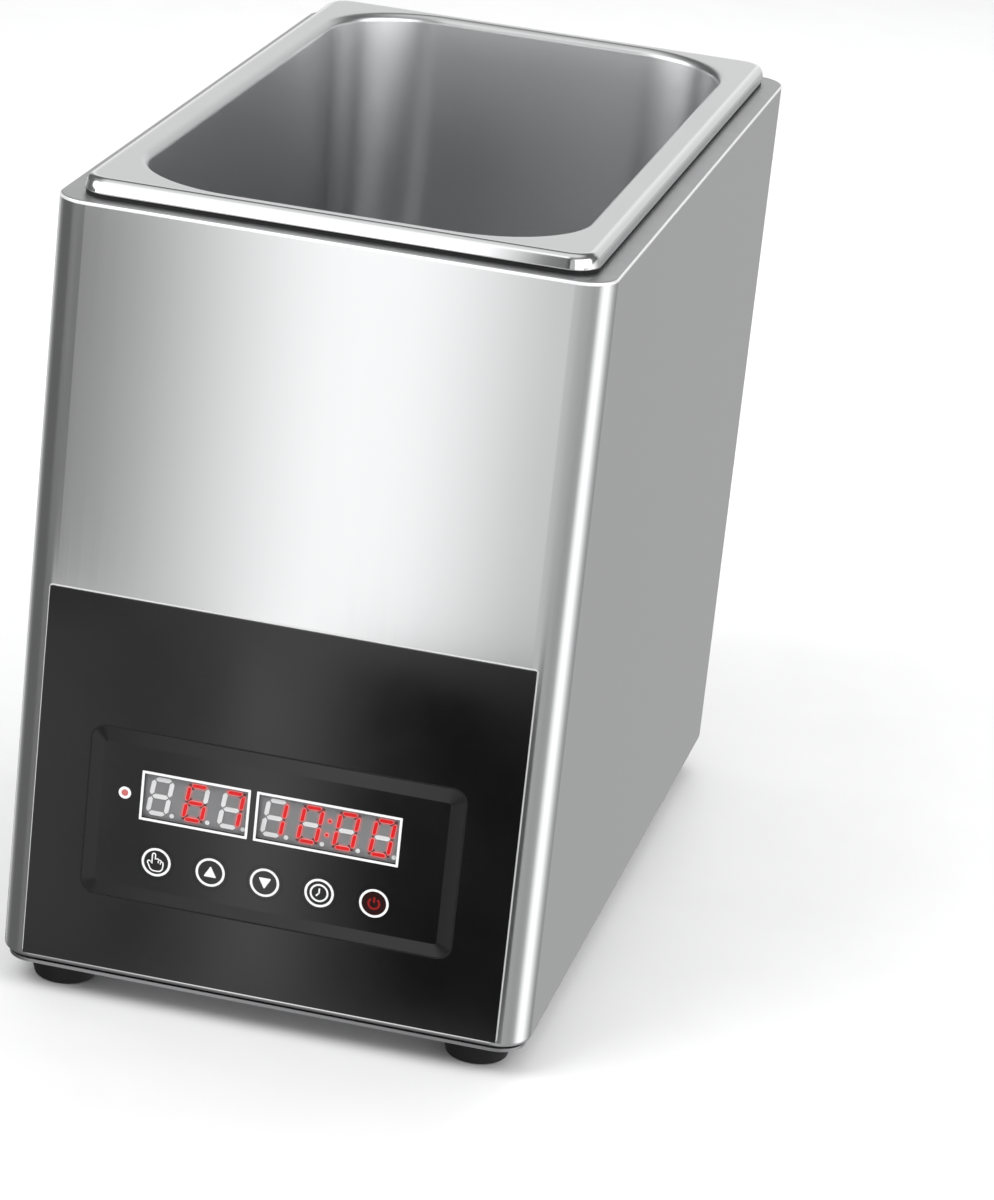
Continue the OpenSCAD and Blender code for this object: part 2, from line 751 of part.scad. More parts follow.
// Every segment of a row of digits that is lit, or every one that is not
module digit_row(x, digits, lit) {
    count = len(digits);
    for (k = [0:count - 1], s = [0:6]) if (DIGITS[digits[k]][s] == lit)
        translate([x + (k - (count - 1) / 2) * digit_pitch, display_z]) segment(s);
}

// Decimal point at the foot of each digit
module point_row(x, count) {
    for (k = [0:count - 1]) translate([
        x + (k - (count - 1) / 2) * digit_pitch + digit_w / 2 + point_r - cut_gap,
        display_z - digit_h / 2 + point_r
    ]) circle(point_r);
}

module lit_segments() color([0.95, 0.12, 0.08]) front(face_d - segment_t, face_d) {
    digit_row(temp_x, temp_digits, 1);
    digit_row(timer_x, timer_digits, 1);
    for (y = [-1, 1]) translate([timer_x + digit_slant * colon_h * y, display_z + colon_h * y])
        circle(point_r);
}

module unlit_segments() color([0.75, 0.75, 0.74]) front(face_d - segment_t, face_d) {
    digit_row(temp_x, temp_digits, 0);
    digit_row(timer_x, timer_digits, 0);
    point_row(temp_x, len(temp_digits));
    point_row(timer_x, len(timer_digits));
}

module heating_lamp() color([0.85, 0.1, 0.08]) {
    front(-film_t, pcb_back) translate([led_x, led_z]) circle(led_r);
    front(pcb_back - lamp_flange_t, pcb_back) translate([led_x, led_z]) circle(led_r + lamp_flange);
}

module post_places() {
    for (x = [-1, 1], z = [-1, 1])
        translate([x * (pcb_w / 2 - pcb_in), pcb_z + z * (pcb_h / 2 - pcb_in)]) children();
}

module control_board() color([0.1, 0.35, 0.18]) {
    front(pcb_back, pcb_back + pcb_t) difference() {
        translate([0, pcb_z]) square([pcb_w, pcb_h], center = true);
        post_places() circle(small_r + screw_gap);
    }
    front(pcb_back + pcb_t, pcb_back + pcb_t + header_t) {
        translate([ribbon_x, pcb_z]) square([ribbon_w + 2 * header_wall, header_h], center = true);
        translate([0, lead_z - body_z]) square([header_t, header_t], center = true);
    }
}

module board_posts() color([0.7, 0.7, 0.72]) front(sheet_t, pcb_back) difference() {
    post_places() circle(spacer_r);
    post_places() circle(small_r + screw_gap);
}

module post_screws() color([0.6, 0.6, 0.62]) {
    front(sheet_t + 1, pcb_back + pcb_t) post_places() circle(small_r);
    front(pcb_back + pcb_t, pcb_back + pcb_t + screw_head_h) post_places() circle(spacer_r);
}

module tact_switches() color([0.12, 0.12, 0.13]) difference() {
    front(pcb_back - switch_h, pcb_back) key_places() square([switch_w, switch_w], center = true);
    front(pcb_back - switch_h - 1, pcb_back - switch_h + stem_dip + key_travel + switch_clear)
        key_places() circle(stem_r + key_gap);
}

// Film disc of one key, k places from the middle key
module key_disc(k) {
    front(-front_out, -key_gap) translate([keys_x + k * key_pitch, key_z]) circle(key_r);
}

module key_set() color([0.09, 0.09, 0.1]) key_disc(-2);

module key_up() color([0.09, 0.09, 0.1]) key_disc(-1);

module key_down() color([0.09, 0.09, 0.1]) key_disc(0);

module key_timer() color([0.09, 0.09, 0.1]) key_disc(1);

module key_power() color([0.09, 0.09, 0.1]) key_disc(2);

// Stem of one key's switch, from the film disc into the switch
module key_stem(k) {
    front(-key_gap, pcb_back - switch_h + stem_dip) translate([keys_x + k * key_pitch, key_z]) circle(stem_r);
}

module stem_set() color([0.85, 0.85, 0.85]) key_stem(-2);

module stem_up() color([0.85, 0.85, 0.85]) key_stem(-1);

module stem_down() color([0.85, 0.85, 0.85]) key_stem(0);

module stem_timer() color([0.85, 0.85, 0.85]) key_stem(1);

module stem_power() color([0.85, 0.85, 0.85]) key_stem(2);

// One face of the ribbon, offset o from its middle: back from [y0, z0], down, then back to [y1, z1]
function ribbon_side(y0, z0, y1, z1, r, o) = let (yc = (y0 + y1) / 2) concat(
    [[y0, z0 + o]],
    arc([yc - r, z0 - r], r + o, 90, 0, 6),
    arc([yc + r, z1 + r], r - o, 180, 270, 6),
    [[y1, z1 + o]]
);

// Ribbon from the control board's header, down and back to the power board's header
module ribbon_cable() color([0.6, 0.6, 0.62]) {
    y0 = pcb_back + pcb_t + header_t;
    y1 = body_d / 2 + board_y - board_l / 2 + header_in;
    z0 = pcb_z + body_z;
    z1 = board_top + header_h / 2;
    face = ribbon_side(y0, z0, y1, z1, ribbon_bend, ribbon_t / 2);
    back = ribbon_side(y0, z0, y1, z1, ribbon_bend, -ribbon_t / 2);
    translate([ribbon_x - ribbon_w / 2, front_y, 0]) rotate([90, 0, 90])
        linear_extrude(ribbon_w) polygon(concat(face, [for (i = [len(back) - 1:-1:0]) back[i]]));
}

module spacer_places() {
    for (x = [-1, 1], y = [-1, 1])
        translate([x * (board_w / 2 - board_in), board_y + y * (board_l / 2 - board_in), 0]) children();
}

module power_board() color([0.1, 0.35, 0.18]) {
    difference() {
        at(board_z) translate([0, board_y, pcb_t / 2]) cube([board_w, board_l, pcb_t], center = true);
        at(board_z - 1) spacer_places() cylinder(r = small_r + screw_gap, h = pcb_t + 2);
    }
    at(board_top) translate([ribbon_x, board_y - board_l / 2 + header_in + header_t / 2, header_h / 2])
        cube([ribbon_w + 2 * header_wall, header_t, header_h], center = true);
}

module board_spacers() color([0.7, 0.7, 0.72]) at(base_top) spacer_places() difference() {
    cylinder(r = spacer_r, h = spacer_h);
    translate([0, 0, -1]) cylinder(r = small_r + screw_gap, h = spacer_h + 2);
}

module spacer_screws() color([0.6, 0.6, 0.62]) at(base_top) spacer_places() {
    translate([0, 0, 1]) cylinder(r = small_r, h = spacer_h + pcb_t - 1);
    translate([0, 0, spacer_h + pcb_t]) cylinder(r = spacer_r, h = screw_head_h);
}

// Core and taped coil
module transformer() color([0.75, 0.6, 0.15])
    at(board_top + core.z / 2) translate([core_x, board_y + large_y, 0]) {
        cube(core, center = true);
        cube(coil, center = true);
    }

module relay() color([0.12, 0.25, 0.5])
    at(board_top + relay_size.z / 2) translate([relay_x, board_y + large_y, 0])
        cube(relay_size, center = true);

// Screw terminals: one under each heater lead, with a recess for its end, and one for the mains cord
module terminal_blocks() color([0.15, 0.4, 0.25]) at(board_top) {
    difference() {
        for (x = [-1, 1]) translate([x * end_run_x, block_y, block_h / 2])
            cube([block_w, block_l, block_h], center = true);
        for (x = [-1, 1]) translate([x * end_run_x, block_y, block_h - lead_dip])
            cylinder(r = lead_wire_r + screw_gap, h = lead_dip + 1);
    }
    translate([mains_block_x, block_y, block_h / 2]) cube([mains_block_w, block_l, block_h], center = true);
}

// Wire from height z0 over one point, down to z1 over another further back or forward
module wire(x, y0, z0, y1, z1, level) {
    dir = y1 > y0 ? 1 : -1;
    run = abs(y1 - y0) - 2 * lead_bend;
    at(0) translate([x, y0, 0]) {
        translate([0, 0, level + lead_bend]) cylinder(r = lead_wire_r, h = z0 - level - lead_bend);
        translate([0, dir * lead_bend, level + lead_bend]) rotate([0, 0, dir * 90]) rotate([90, 0, 0])
            rotate([0, 0, 180]) rotate_extrude(angle = 90) translate([lead_bend, 0]) circle(lead_wire_r);
        translate([0, dir * lead_bend, level]) rotate([-90 * dir, 0, 0]) cylinder(r = lead_wire_r, h = run);
        translate([0, dir * (lead_bend + run), level - lead_bend]) rotate([0, 0, dir * 90]) rotate([90, 0, 0])
            rotate_extrude(angle = 90) translate([lead_bend, 0]) circle(lead_wire_r);
        translate([0, y1 - y0, z1]) cylinder(r = lead_wire_r, h = level - lead_bend - z1);
    }
}

module heater_leads() color([0.7, 0.15, 0.1]) {
    for (x = [-1, 1]) wire(
        x * end_run_x, leg_y, leg_end - pin_l, block_y, board_top + block_h - lead_dip, lead_z
    );
}

module probe_lead() color([0.9, 0.9, 0.88]) {
    top = plate_z - probe_r;
    y0 = probe_y - lead_bend;
    end = pcb_back + pcb_t + header_t - body_d / 2;
    at(0) {
        translate([0, probe_y, top - lead_bend]) rotate([0, 0, -90]) rotate([90, 0, 0])
            rotate_extrude(angle = 90) translate([lead_bend, 0]) circle(lead_wire_r);
        translate([0, y0, lead_z + lead_bend]) cylinder(r = lead_wire_r, h = top - 2 * lead_bend - lead_z);
        translate([0, y0 - lead_bend, lead_z + lead_bend]) rotate([0, 0, -90]) rotate([90, 0, 0])
            rotate([0, 0, 180]) rotate_extrude(angle = 90) translate([lead_bend, 0]) circle(lead_wire_r);
        translate([0, y0 - lead_bend, lead_z]) rotate([90, 0, 0])
            cylinder(r = lead_wire_r, h = y0 - lead_bend - end);
    }
}

// Slot with round ends
module slot(w, l) {
    square([w, l - w], center = true);
    for (y = [-1, 1]) translate([0, y * (l - w) / 2]) circle(w / 2);
}

module foot_places() {
    for (x = [-1, 1], y = [-1, 1])
        translate([x * (body_w / 2 - foot_in), y * (body_d / 2 - foot_in), 0]) children();
}

module base_plate() color([0.68, 0.69, 0.7]) difference() {
    union() {
        at(foot_h) linear_extrude(base_t)
            rrect(body_w - 2 * base_inset, body_d - 2 * base_inset, corner_r - base_inset);
        at(base_top) lip_screw_places() cylinder(r = boss_r, h = base_gap);
    }
    at(foot_h - 1) {
        lip_screw_places() cylinder(r = tap_r + screw_gap, h = base_t + base_gap + 2);
        foot_places() cylinder(r = foot_screw_r + screw_gap, h = base_t + 2);
        for (k = [0:slots - 1], y = slot_y) translate([(k - (slots - 1) / 2) * slot_pitch, y, 0])
            linear_extrude(base_t + 2) slot(slot_w, slot_l);
    }
}

module base_screws() color([0.6, 0.6, 0.62]) at(0) lip_screw_places() {
    translate([0, 0, foot_h - screw_head_h]) cylinder(r = base_head_r, h = screw_head_h);
    translate([0, 0, foot_h]) cylinder(r = tap_r, h = base_t + base_gap + sheet_t + tap_over);
}

// Rubber foot: a turned cone with a rounded lower edge and a deep recess for its screw
module foot(x, y) {
    shank_r = foot_screw_r + screw_gap;
    section = concat(
        [[foot_bore_r, 0]],
        arc([foot_tip_r - foot_edge_r, foot_edge_r], foot_edge_r, -90, 0, 5),
        [[foot_r, foot_h - foot_band], [foot_r, foot_h], [shank_r, foot_h]],
        [[shank_r, foot_bore_h], [foot_bore_r, foot_bore_h]]
    );
    at(0) translate([x * (body_w / 2 - foot_in), y * (body_d / 2 - foot_in), 0])
        rotate_extrude() polygon(section);
}

module foot_front_left() color([0.07, 0.07, 0.07]) foot(-1, -1);

module foot_front_right() color([0.07, 0.07, 0.07]) foot(1, -1);

module foot_rear_left() color([0.07, 0.07, 0.07]) foot(-1, 1);

module foot_rear_right() color([0.07, 0.07, 0.07]) foot(1, 1);

module foot_screws() color([0.6, 0.6, 0.62]) at(foot_bore_h) foot_places() {
    translate([0, 0, -head_h]) cylinder(r = head_r, h = head_h);
    cylinder(r = foot_screw_r, h = foot_h - foot_bore_h + base_t + nut_t + thread_over);
}

module foot_nuts() color([0.6, 0.6, 0.62]) at(base_top) foot_places() difference() {
    cylinder(r = nut_r, h = nut_t, $fn = 6);
    translate([0, 0, -1]) cylinder(r = foot_screw_r + screw_gap, h = nut_t + 2);
}

// Draws outwards along +Z from the rear sheet's outer face, on the gland's axis
module at_gland() {
    translate([gland_x, rear_y, body_z + gland_z]) rotate([-90, 0, 0]) children();
}

// Hexagon, dome and thread, with a hexagonal key that sits in the sheet's hole
module cable_gland() color([0.1, 0.1, 0.11]) at_gland() difference() {
    dome_r = gland_r + gland_wall;
    inside = sheet_t + gland_thread_l;
    union() {
        cylinder(r = gland_r + gland_flange, h = gland_hex_t, $fn = 6);
        translate([0, 0, gland_hex_t]) cylinder(r = dome_r, h = gland_dome_l - gland_cone_h);
        translate([0, 0, rear_out - gland_cone_h])
            cylinder(r1 = dome_r, r2 = gland_bore_r + gland_wall, h = gland_cone_h);
        translate([0, 0, -inside]) cylinder(r = gland_r, h = inside);
        translate([0, 0, -sheet_t]) cylinder(r = gland_key_r, h = sheet_t, $fn = 6);
    }
    translate([0, 0, -inside - 1]) cylinder(r = gland_bore_r, h = rear_out + inside + 2);
}

module gland_nut() color([0.1, 0.1, 0.11]) at_gland() translate([0, 0, -sheet_t - gland_nut_t]) difference() {
    cylinder(r = gland_r + gland_nut_flange, h = gland_nut_t, $fn = 6);
    translate([0, 0, -1]) cylinder(r = gland_r + screw_gap, h = gland_nut_t + 2);
}

body_shell();
top_deck();
rim_seal();
pan();
well_liner();
heater_plate();
heating_element();
element_terminals();
clamp_bars();
clamp_screws();
plate_nuts();
insulation_wrap();
insulation_pad();
heat_shield();
shield_rivets();
thermal_cutout();
temperature_probe();
probe_clip();
front_overlay();
temp_window();
timer_window();
temp_display();
timer_display();
lit_segments();
unlit_segments();
heating_lamp();
control_board();
board_posts();
post_screws();
tact_switches();
key_set();
key_up();
key_down();
key_timer();
key_power();
stem_set();
stem_up();
stem_down();
stem_timer();
stem_power();
ribbon_cable();
power_board();
board_spacers();
spacer_screws();
transformer();
relay();
terminal_blocks();
heater_leads();
probe_lead();
base_plate();
base_screws();
foot_front_left();
foot_front_right();
foot_rear_left();
foot_rear_right();
foot_screws();
foot_nuts();
cable_gland();
gland_nut();
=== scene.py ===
"""Looks of a counter-top egg boiler: finishes, deep-drawn pan, panel prints, studio and camera.

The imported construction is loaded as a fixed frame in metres: +X to the right, +Y to the rear, +Z up,
feet at z = 0. Sizes below are real sizes in metres; places come from the frame's own boxes.
"""

from __future__ import annotations

import json
import logging
import math
from dataclasses import dataclass, field
from enum import Enum
from functools import cache
from typing import Any, Iterable, Sequence

import bpy
import numpy as np
from mathutils import Matrix, Vector

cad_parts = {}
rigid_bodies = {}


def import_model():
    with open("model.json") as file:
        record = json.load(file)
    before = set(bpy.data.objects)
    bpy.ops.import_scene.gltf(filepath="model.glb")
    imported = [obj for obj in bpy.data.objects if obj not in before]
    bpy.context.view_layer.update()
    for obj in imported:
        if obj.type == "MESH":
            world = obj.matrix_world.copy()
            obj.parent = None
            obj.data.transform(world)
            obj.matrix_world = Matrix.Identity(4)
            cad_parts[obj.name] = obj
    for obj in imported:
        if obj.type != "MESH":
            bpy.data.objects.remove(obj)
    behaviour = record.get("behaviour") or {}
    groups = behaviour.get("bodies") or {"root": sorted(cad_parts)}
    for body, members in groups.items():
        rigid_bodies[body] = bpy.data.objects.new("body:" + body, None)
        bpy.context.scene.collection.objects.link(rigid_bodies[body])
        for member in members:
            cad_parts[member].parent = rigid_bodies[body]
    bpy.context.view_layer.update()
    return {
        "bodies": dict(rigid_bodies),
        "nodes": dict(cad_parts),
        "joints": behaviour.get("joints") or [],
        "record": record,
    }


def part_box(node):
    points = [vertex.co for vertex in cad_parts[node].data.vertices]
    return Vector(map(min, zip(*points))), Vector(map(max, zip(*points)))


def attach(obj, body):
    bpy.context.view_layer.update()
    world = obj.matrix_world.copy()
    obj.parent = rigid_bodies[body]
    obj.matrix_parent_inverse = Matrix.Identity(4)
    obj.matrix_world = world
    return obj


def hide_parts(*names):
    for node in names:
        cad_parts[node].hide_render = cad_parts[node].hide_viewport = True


MM = 0.001
LOG = logging.getLogger("egg_boiler")

Color = tuple[float, float, float]
Triple = tuple[float, float, float]
Stops = tuple[tuple[float, float], ...]
Array = np.ndarray
Socket = bpy.types.NodeSocket
Tree = bpy.types.NodeTree

ORIGIN: Triple = (0.0, 0.0, 0.0)
# Takes a drawing's axes (right, up, towards the viewer) to the front of the object
FRONT_TURN = Matrix(((1, 0, 0), (0, 0, -1), (0, 1, 0))).to_4x4()
# Height of the finest relief, for the Bump nodes
RELIEF = 0.2 * MM


class Body(str, Enum):
    """Bodies of the construction that new pieces ride on."""

    HOUSING = "body"
    PAN = "pan"
    SET = "set_key"
    UP = "up_key"
    DOWN = "down_key"
    TIMER = "timer_key"
    POWER = "power_key"


class Slot(str, Enum):
    """Material slots of the record, by name."""

    PAN_STEEL = "pan_steel"
    PRINT = "segment_clear"
    LAMP = "lamp_red"
    LIT = "segment_red"


# ---------------------------------------------------------------- surfaces


@dataclass(frozen=True)
class Surface:
    """Vertices, faces and the two surface coordinates of a mesh, as arrays."""

    points: Array
    faces: list[tuple[int, ...]]
    uv: Array | None = None

    def mapped(self, matrix: Matrix) -> "Surface":
        """Carries the points through a matrix: row vectors times its turned part, plus its shift.

        Args:
            matrix: The matrix that takes the drawing's axes to the frame's.

        Returns:
            The moved surface.
        """
        turn = np.array(matrix.to_3x3())
        shift = np.array(matrix.to_translation())
        return Surface(self.points @ turn.T + shift, self.faces, self.uv)


def joined(parts: Sequence[Surface]) -> Surface:
    """Puts several surfaces into one: points are stacked, and face numbers move up by what came before.

    Args:
        parts: The surfaces, in order.

    Returns:
        One surface that holds them all, without surface coordinates.
    """
    starts = np.cumsum([0] + [len(part.points) for part in parts[:-1]])
    faces = [tuple(int(i + start) for i in face) for part, start in zip(parts, starts) for face in part.faces]
    return Surface(np.vstack([part.points for part in parts]), faces)


def grid_faces(rows: int, columns: int, round_rows: bool, round_columns: bool) -> list[tuple[int, ...]]:
    """Faces of a grid of points: each takes a point, the next in its row, and the two after them.

    Args:
        rows: Number of rows of points.
        columns: Number of points in a row.
        round_rows: Whether the last row joins the first.
        round_columns: Whether the last point of a row joins its first.

    Returns:
        Four point numbers for each face.
    """
    r = np.arange(rows if round_rows else rows - 1)[:, None]
    c = np.arange(columns if round_columns else columns - 1)[None, :]
    r1, c1 = (r + 1) % rows, (c + 1) % columns
    corners = [r * columns + c, r * columns + c1, r1 * columns + c1, r1 * columns + c]
    return [tuple(face) for face in np.stack([corner.ravel() for corner in corners], 1).tolist()]


@dataclass(frozen=True)
class RoundOutline:
    """Rectangle with round corners, as a path that any width, length and radius can be put to.

    A point is the corner's centre, or a share of the way between two of them, plus the radius along
    the outward normal.
    """

    corner_steps: int = 16
    side_steps: int = 6

    def shares(self) -> tuple[Array, Array]:
        """Works out the path: four quarter turns of the normal, with straight runs between them.

        Returns:
            The shares of the corner centres' x and y, and the outward normals, both one row a point.
        """
        signs = np.array([[1, 1], [-1, 1], [-1, -1], [1, -1]], float)
        quarter = np.linspace(0, math.pi / 2, self.corner_steps + 1)
        run = np.linspace(0, 1, self.side_steps + 1)[1:-1, None]
        centres, normals = [], []
        for k in range(4):
            turn = quarter + k * math.pi / 2
            ahead = signs[(k + 1) % 4]
            end = np.array([math.cos((k + 1) * math.pi / 2), math.sin((k + 1) * math.pi / 2)])
            centres += [np.repeat(signs[k][None], len(turn), 0), signs[k] * (1 - run) + ahead * run]
            normals += [np.stack([np.cos(turn), np.sin(turn)], 1), np.repeat(end[None], len(run), 0)]
        return np.vstack(centres), np.vstack(normals)

    def loft(self, rows: Array, round_rows: bool = False) -> Surface:
        """Lays one outline for each row and joins them: x and y are the centre's share times half of
        width or length less the radius, plus the radius along the normal, and z is the row's own.

        Args:
            rows: Width, length, corner radius and height of each row.
            round_rows: Whether the last row joins the first.

        Returns:
            The lofted surface, with the lengths round and along it as its coordinates.
        """
        centres, normals = self.shares()
        half = rows[:, None, :2] / 2 - rows[:, None, 2:3]
        flat = half * centres[None] + rows[:, None, 2:3] * normals[None]
        height = np.repeat(rows[:, None, 3:4], len(centres), 1)
        points = np.concatenate([flat, height], 2)
        step = np.linalg.norm(np.diff(points, axis=0), axis=2).mean(1)
        along = np.concatenate([[0], np.cumsum(step)])
        widest = points[np.argmax(rows[:, 0])]
        girth = np.concatenate([[0], np.cumsum(np.linalg.norm(np.diff(widest, axis=0), axis=1))])
        uv = np.stack(np.broadcast_arrays(girth[None, :], along[:, None]), 2).reshape(-1, 2)
        return Surface(points.reshape(-1, 3), grid_faces(len(rows), len(centres), round_rows, True), uv)


def arc_rows(centre: Sequence[float], radius: float, start: float, end: float, steps: int) -> Array:
    """Points along an arc, by degrees: the centre plus the radius times the angle's cosine and sine."""
    angle = np.radians(np.linspace(start, end, steps + 1))
    return np.stack([centre[0] + radius * np.cos(angle), centre[1] + radius * np.sin(angle)], 1)


def plate(outline: Array, thickness: float) -> Surface:
    """Fills a convex outline with a thin plate: its front and back each fan out from the middle.

    Args:
        outline: Points round the outline, anticlockwise.
        thickness: Thickness, away from the viewer along +Z of the drawing.

    Returns:
        The closed plate, with its front at height 0 and its back below.
    """
    count = len(outline)
    middle = outline.mean(0)
    rings = [np.column_stack([outline, np.full(count, z)]) for z in (0.0, -thickness)]
    hubs = np.array([[*middle, 0.0], [*middle, -thickness]])
    points = np.vstack([*rings, hubs])
    i = np.arange(count)
    j = (i + 1) % count
    front = np.stack([np.full(count, 2 * count), i, j], 1)
    back = np.stack([np.full(count, 2 * count + 1), j + count, i + count], 1)
    side = np.stack([i, i + count, j + count, j], 1)
    return Surface(points, [tuple(f) for part in (front, back, side) for f in part.tolist()])


def stroke(path: Array, width: float, thickness: float, closed: bool = False) -> Surface:
    """Draws a line of some width: at each point the path's normal carries half of the width both ways.

    Args:
        path: Points of the line.
        width: Width of the line.
        thickness: Thickness of the ink.
        closed: Whether the line's end meets its start.

    Returns:
        The closed ribbon, with its front at height 0.
    """
    if closed:
        along = np.roll(path, -1, 0) - np.roll(path, 1, 0)
    else:
        along = np.gradient(path, axis=0)
    along = along / np.linalg.norm(along, axis=1, keepdims=True)
    normal = np.stack([-along[:, 1], along[:, 0]], 1) * width / 2
    left, right = path + normal, path - normal
    rims = [(right, 0.0), (left, 0.0), (left, -thickness), (right, -thickness)]
    rows = np.stack([np.column_stack([rim, np.full(len(path), z)]) for rim, z in rims], 1)
    faces = grid_faces(len(path), 4, closed, True)
    if not closed:
        last = (len(path) - 1) * 4
        faces += [(1, 2, 3, 0), (last, last + 3, last + 2, last + 1)]
    return Surface(rows.reshape(-1, 3), [face[::-1] for face in faces])


@dataclass(frozen=True)
class Box:
    """Box of one of the construction's nodes, with its middle and half of its size."""

    low: Vector
    high: Vector

    @classmethod
    def of(cls, node: str) -> "Box":
        """Measures a node."""
        return cls(*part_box(node))

    @property
    def middle(self) -> Vector:
        """The point halfway between the corners."""
        return (self.low + self.high) / 2

    @property
    def half(self) -> Vector:
        """Half of the size along each axis."""
        return (self.high - self.low) / 2


def add_object(name: str, data: bpy.types.ID) -> bpy.types.Object:
    """Puts a mesh, light or camera into the scene, at the origin.

    Args:
        name: The object's name.
        data: What it holds.

    Returns:
        The new object.
    """
    thing = bpy.data.objects.new(name, data)
    bpy.context.scene.collection.objects.link(thing)
    return thing


def make_piece(
    name: str,
    surface: Surface,
    material: bpy.types.Material,
    body: Body,
    sharp_deg: float = 35.0,
    replaced: Iterable[str] = (),
) -> None:
    """Puts a surface into a mesh object at the origin, smooth but for its sharp edges.

    Args:
        name: The piece's name.
        surface: Its points and faces, in the frame.
        material: Its finish.
        body: The body that it rides on.
        sharp_deg: Edges that turn more than this stay sharp.
        replaced: CAD nodes that it stands for.
    """
    mesh = bpy.data.meshes.new(name)
    mesh.from_pydata(surface.points.tolist(), [], surface.faces)
    mesh.validate()
    if surface.uv is not None:
        layer = mesh.uv_layers.new(name="surface")
        corner = np.zeros(len(mesh.loops), np.int32)
        mesh.loops.foreach_get("vertex_index", corner)
        layer.data.foreach_set("uv", surface.uv[corner].astype(np.float32).ravel())
    mesh.polygons.foreach_set("use_smooth", np.ones(len(mesh.polygons), bool))
    mesh.set_sharp_from_angle(angle=math.radians(sharp_deg))
    mesh.materials.append(material)
    piece = add_object(name, mesh)
    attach(piece, body.value)
    if replaced:
        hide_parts(*replaced)
    LOG.info("piece %s: %d faces on %s", name, len(mesh.polygons), body.value)


# ---------------------------------------------------------------- shader graphs


class Graph:
    """A node tree that is being filled, with short calls to add and join nodes."""

    def __init__(self, tree: Tree) -> None:
        """Takes the material's, world's or group's tree, and clears it."""
        self.tree = tree
        tree.nodes.clear()

    def set(self, node: bpy.types.Node, **inputs: Any) -> None:
        """Sets or links inputs, which are named with _ for a space, or numbered as in i0.

        Args:
            node: The node.
            inputs: A value for each input, or the socket that feeds it.
        """
        for name, value in inputs.items():
            numbered = name[0] == "i" and name[1:].isdigit()
            socket = node.inputs[int(name[1:]) if numbered else name.replace("_", " ")]
            if isinstance(value, Socket):
                self.tree.links.new(value, socket)
            else:
                socket.default_value = value

    def add(self, kind: str, settings: dict[str, Any] | None = None, **inputs: Any) -> bpy.types.Node:
        """Adds a node.

        Args:
            kind: Its type, without the ShaderNode at the front.
            settings: Its own properties.
            inputs: As set() takes them.

        Returns:
            The new node.
        """
        node = self.tree.nodes.new(kind if kind.startswith("Node") else "ShaderNode" + kind)
        for name, value in (settings or {}).items():
            setattr(node, name, value)
        self.set(node, **inputs)
        return node

    def math(self, operation: str, a: Any, b: Any = 0.0) -> Socket:
        """Adds a Math node with two operands."""
        return self.add("Math", {"operation": operation}, i0=a, i1=b).outputs[0]

    def vector(self, operation: str, a: Any, b: Any = ORIGIN) -> Socket:
        """Adds a Vector Math node with two operands."""
        return self.add("VectorMath", {"operation": operation}, i0=a, i1=b).outputs[0]

    def ramp(self, factor: Any, stops: Sequence[tuple[float, Color]]) -> Socket:
        """Adds a colour ramp.

        Args:
            factor: The socket that drives it.
            stops: Place and colour of each stop.

        Returns:
            The colour output.
        """
        node = self.add("ValToRGB", None, Fac=factor)
        elements = node.color_ramp.elements
        while len(elements) < len(stops):
            elements.new(0.5)
        for element, (place, color) in zip(elements, stops):
            element.position = place
            element.color = (*color, 1.0)
        return node.outputs["Color"]

    def levels(self, factor: Any, stops: Stops) -> Socket:
        """Adds a ramp of greys, each stop of which is a place and a brightness."""
        return self.ramp(factor, [(at, (level,) * 3) for at, level in stops])

    def blend(self, factor: Any, first: Any, second: Any) -> Socket:
        """Adds a colour mix of two colours by a factor."""
        return self.add("Mix", {"data_type": "RGBA"}, i0=factor, i6=first, i7=second).outputs[2]

    def lerp(self, factor: Any, first: Any, second: Any) -> Socket:
        """Adds a mix of two numbers by a factor."""
        return self.add("Mix", {"data_type": "FLOAT"}, i0=factor, i2=first, i3=second).outputs[0]

    def spread(self, value: Any, low: float, high: float, to_low: float = 0.0, to_high: float = 1.0) -> Socket:
        """Adds a Map Range node that carries low..high to to_low..to_high, held at both ends."""
        return self.add("MapRange", None, i0=value, i1=low, i2=high, i3=to_low, i4=to_high).outputs[0]

    def stack(self, height: Any, bands: Sequence[Any], borders: Stops) -> Socket:
        """Blends bands upwards: one turns into the next between the two heights of their border.

        Args:
            height: The socket that tells the height.
            bands: The bands' colours, from the lowest up.
            borders: The two heights of each border.

        Returns:
            The colour at the height.
        """
        color = bands[0]
        for (start, end), upper in zip(borders, bands[1:]):
            color = self.blend(self.spread(height, start, end), color, upper)
        return color

    def group(self, tree: Tree, **inputs: Any) -> Socket:
        """Places a node group with its inputs, and gives its output."""
        return self.add("Group", {"node_tree": tree}, **inputs).outputs[0]


def new_group(name: str, **inputs: float | Triple) -> tuple[Tree, Graph, Sequence[Socket], bpy.types.Node]:
    """Makes a shader node group that turns its named inputs into one output, Value.

    Args:
        name: The group's name.
        inputs: Each input's starting value, three numbers where its socket is a vector's.

    Returns:
        The group's tree, a graph to fill, the sockets of its inputs, and its output node.
    """
    tree = bpy.data.node_groups.new(name, "ShaderNodeTree")
    for socket_name, start in inputs.items():
        kind = "NodeSocketVector" if isinstance(start, tuple) else "NodeSocketFloat"
        tree.interface.new_socket(socket_name, in_out="INPUT", socket_type=kind).default_value = start
    tree.interface.new_socket("Value", in_out="OUTPUT", socket_type="NodeSocketFloat")
    graph = Graph(tree)
    return tree, graph, graph.add("NodeGroupInput").outputs, graph.add("NodeGroupOutput")


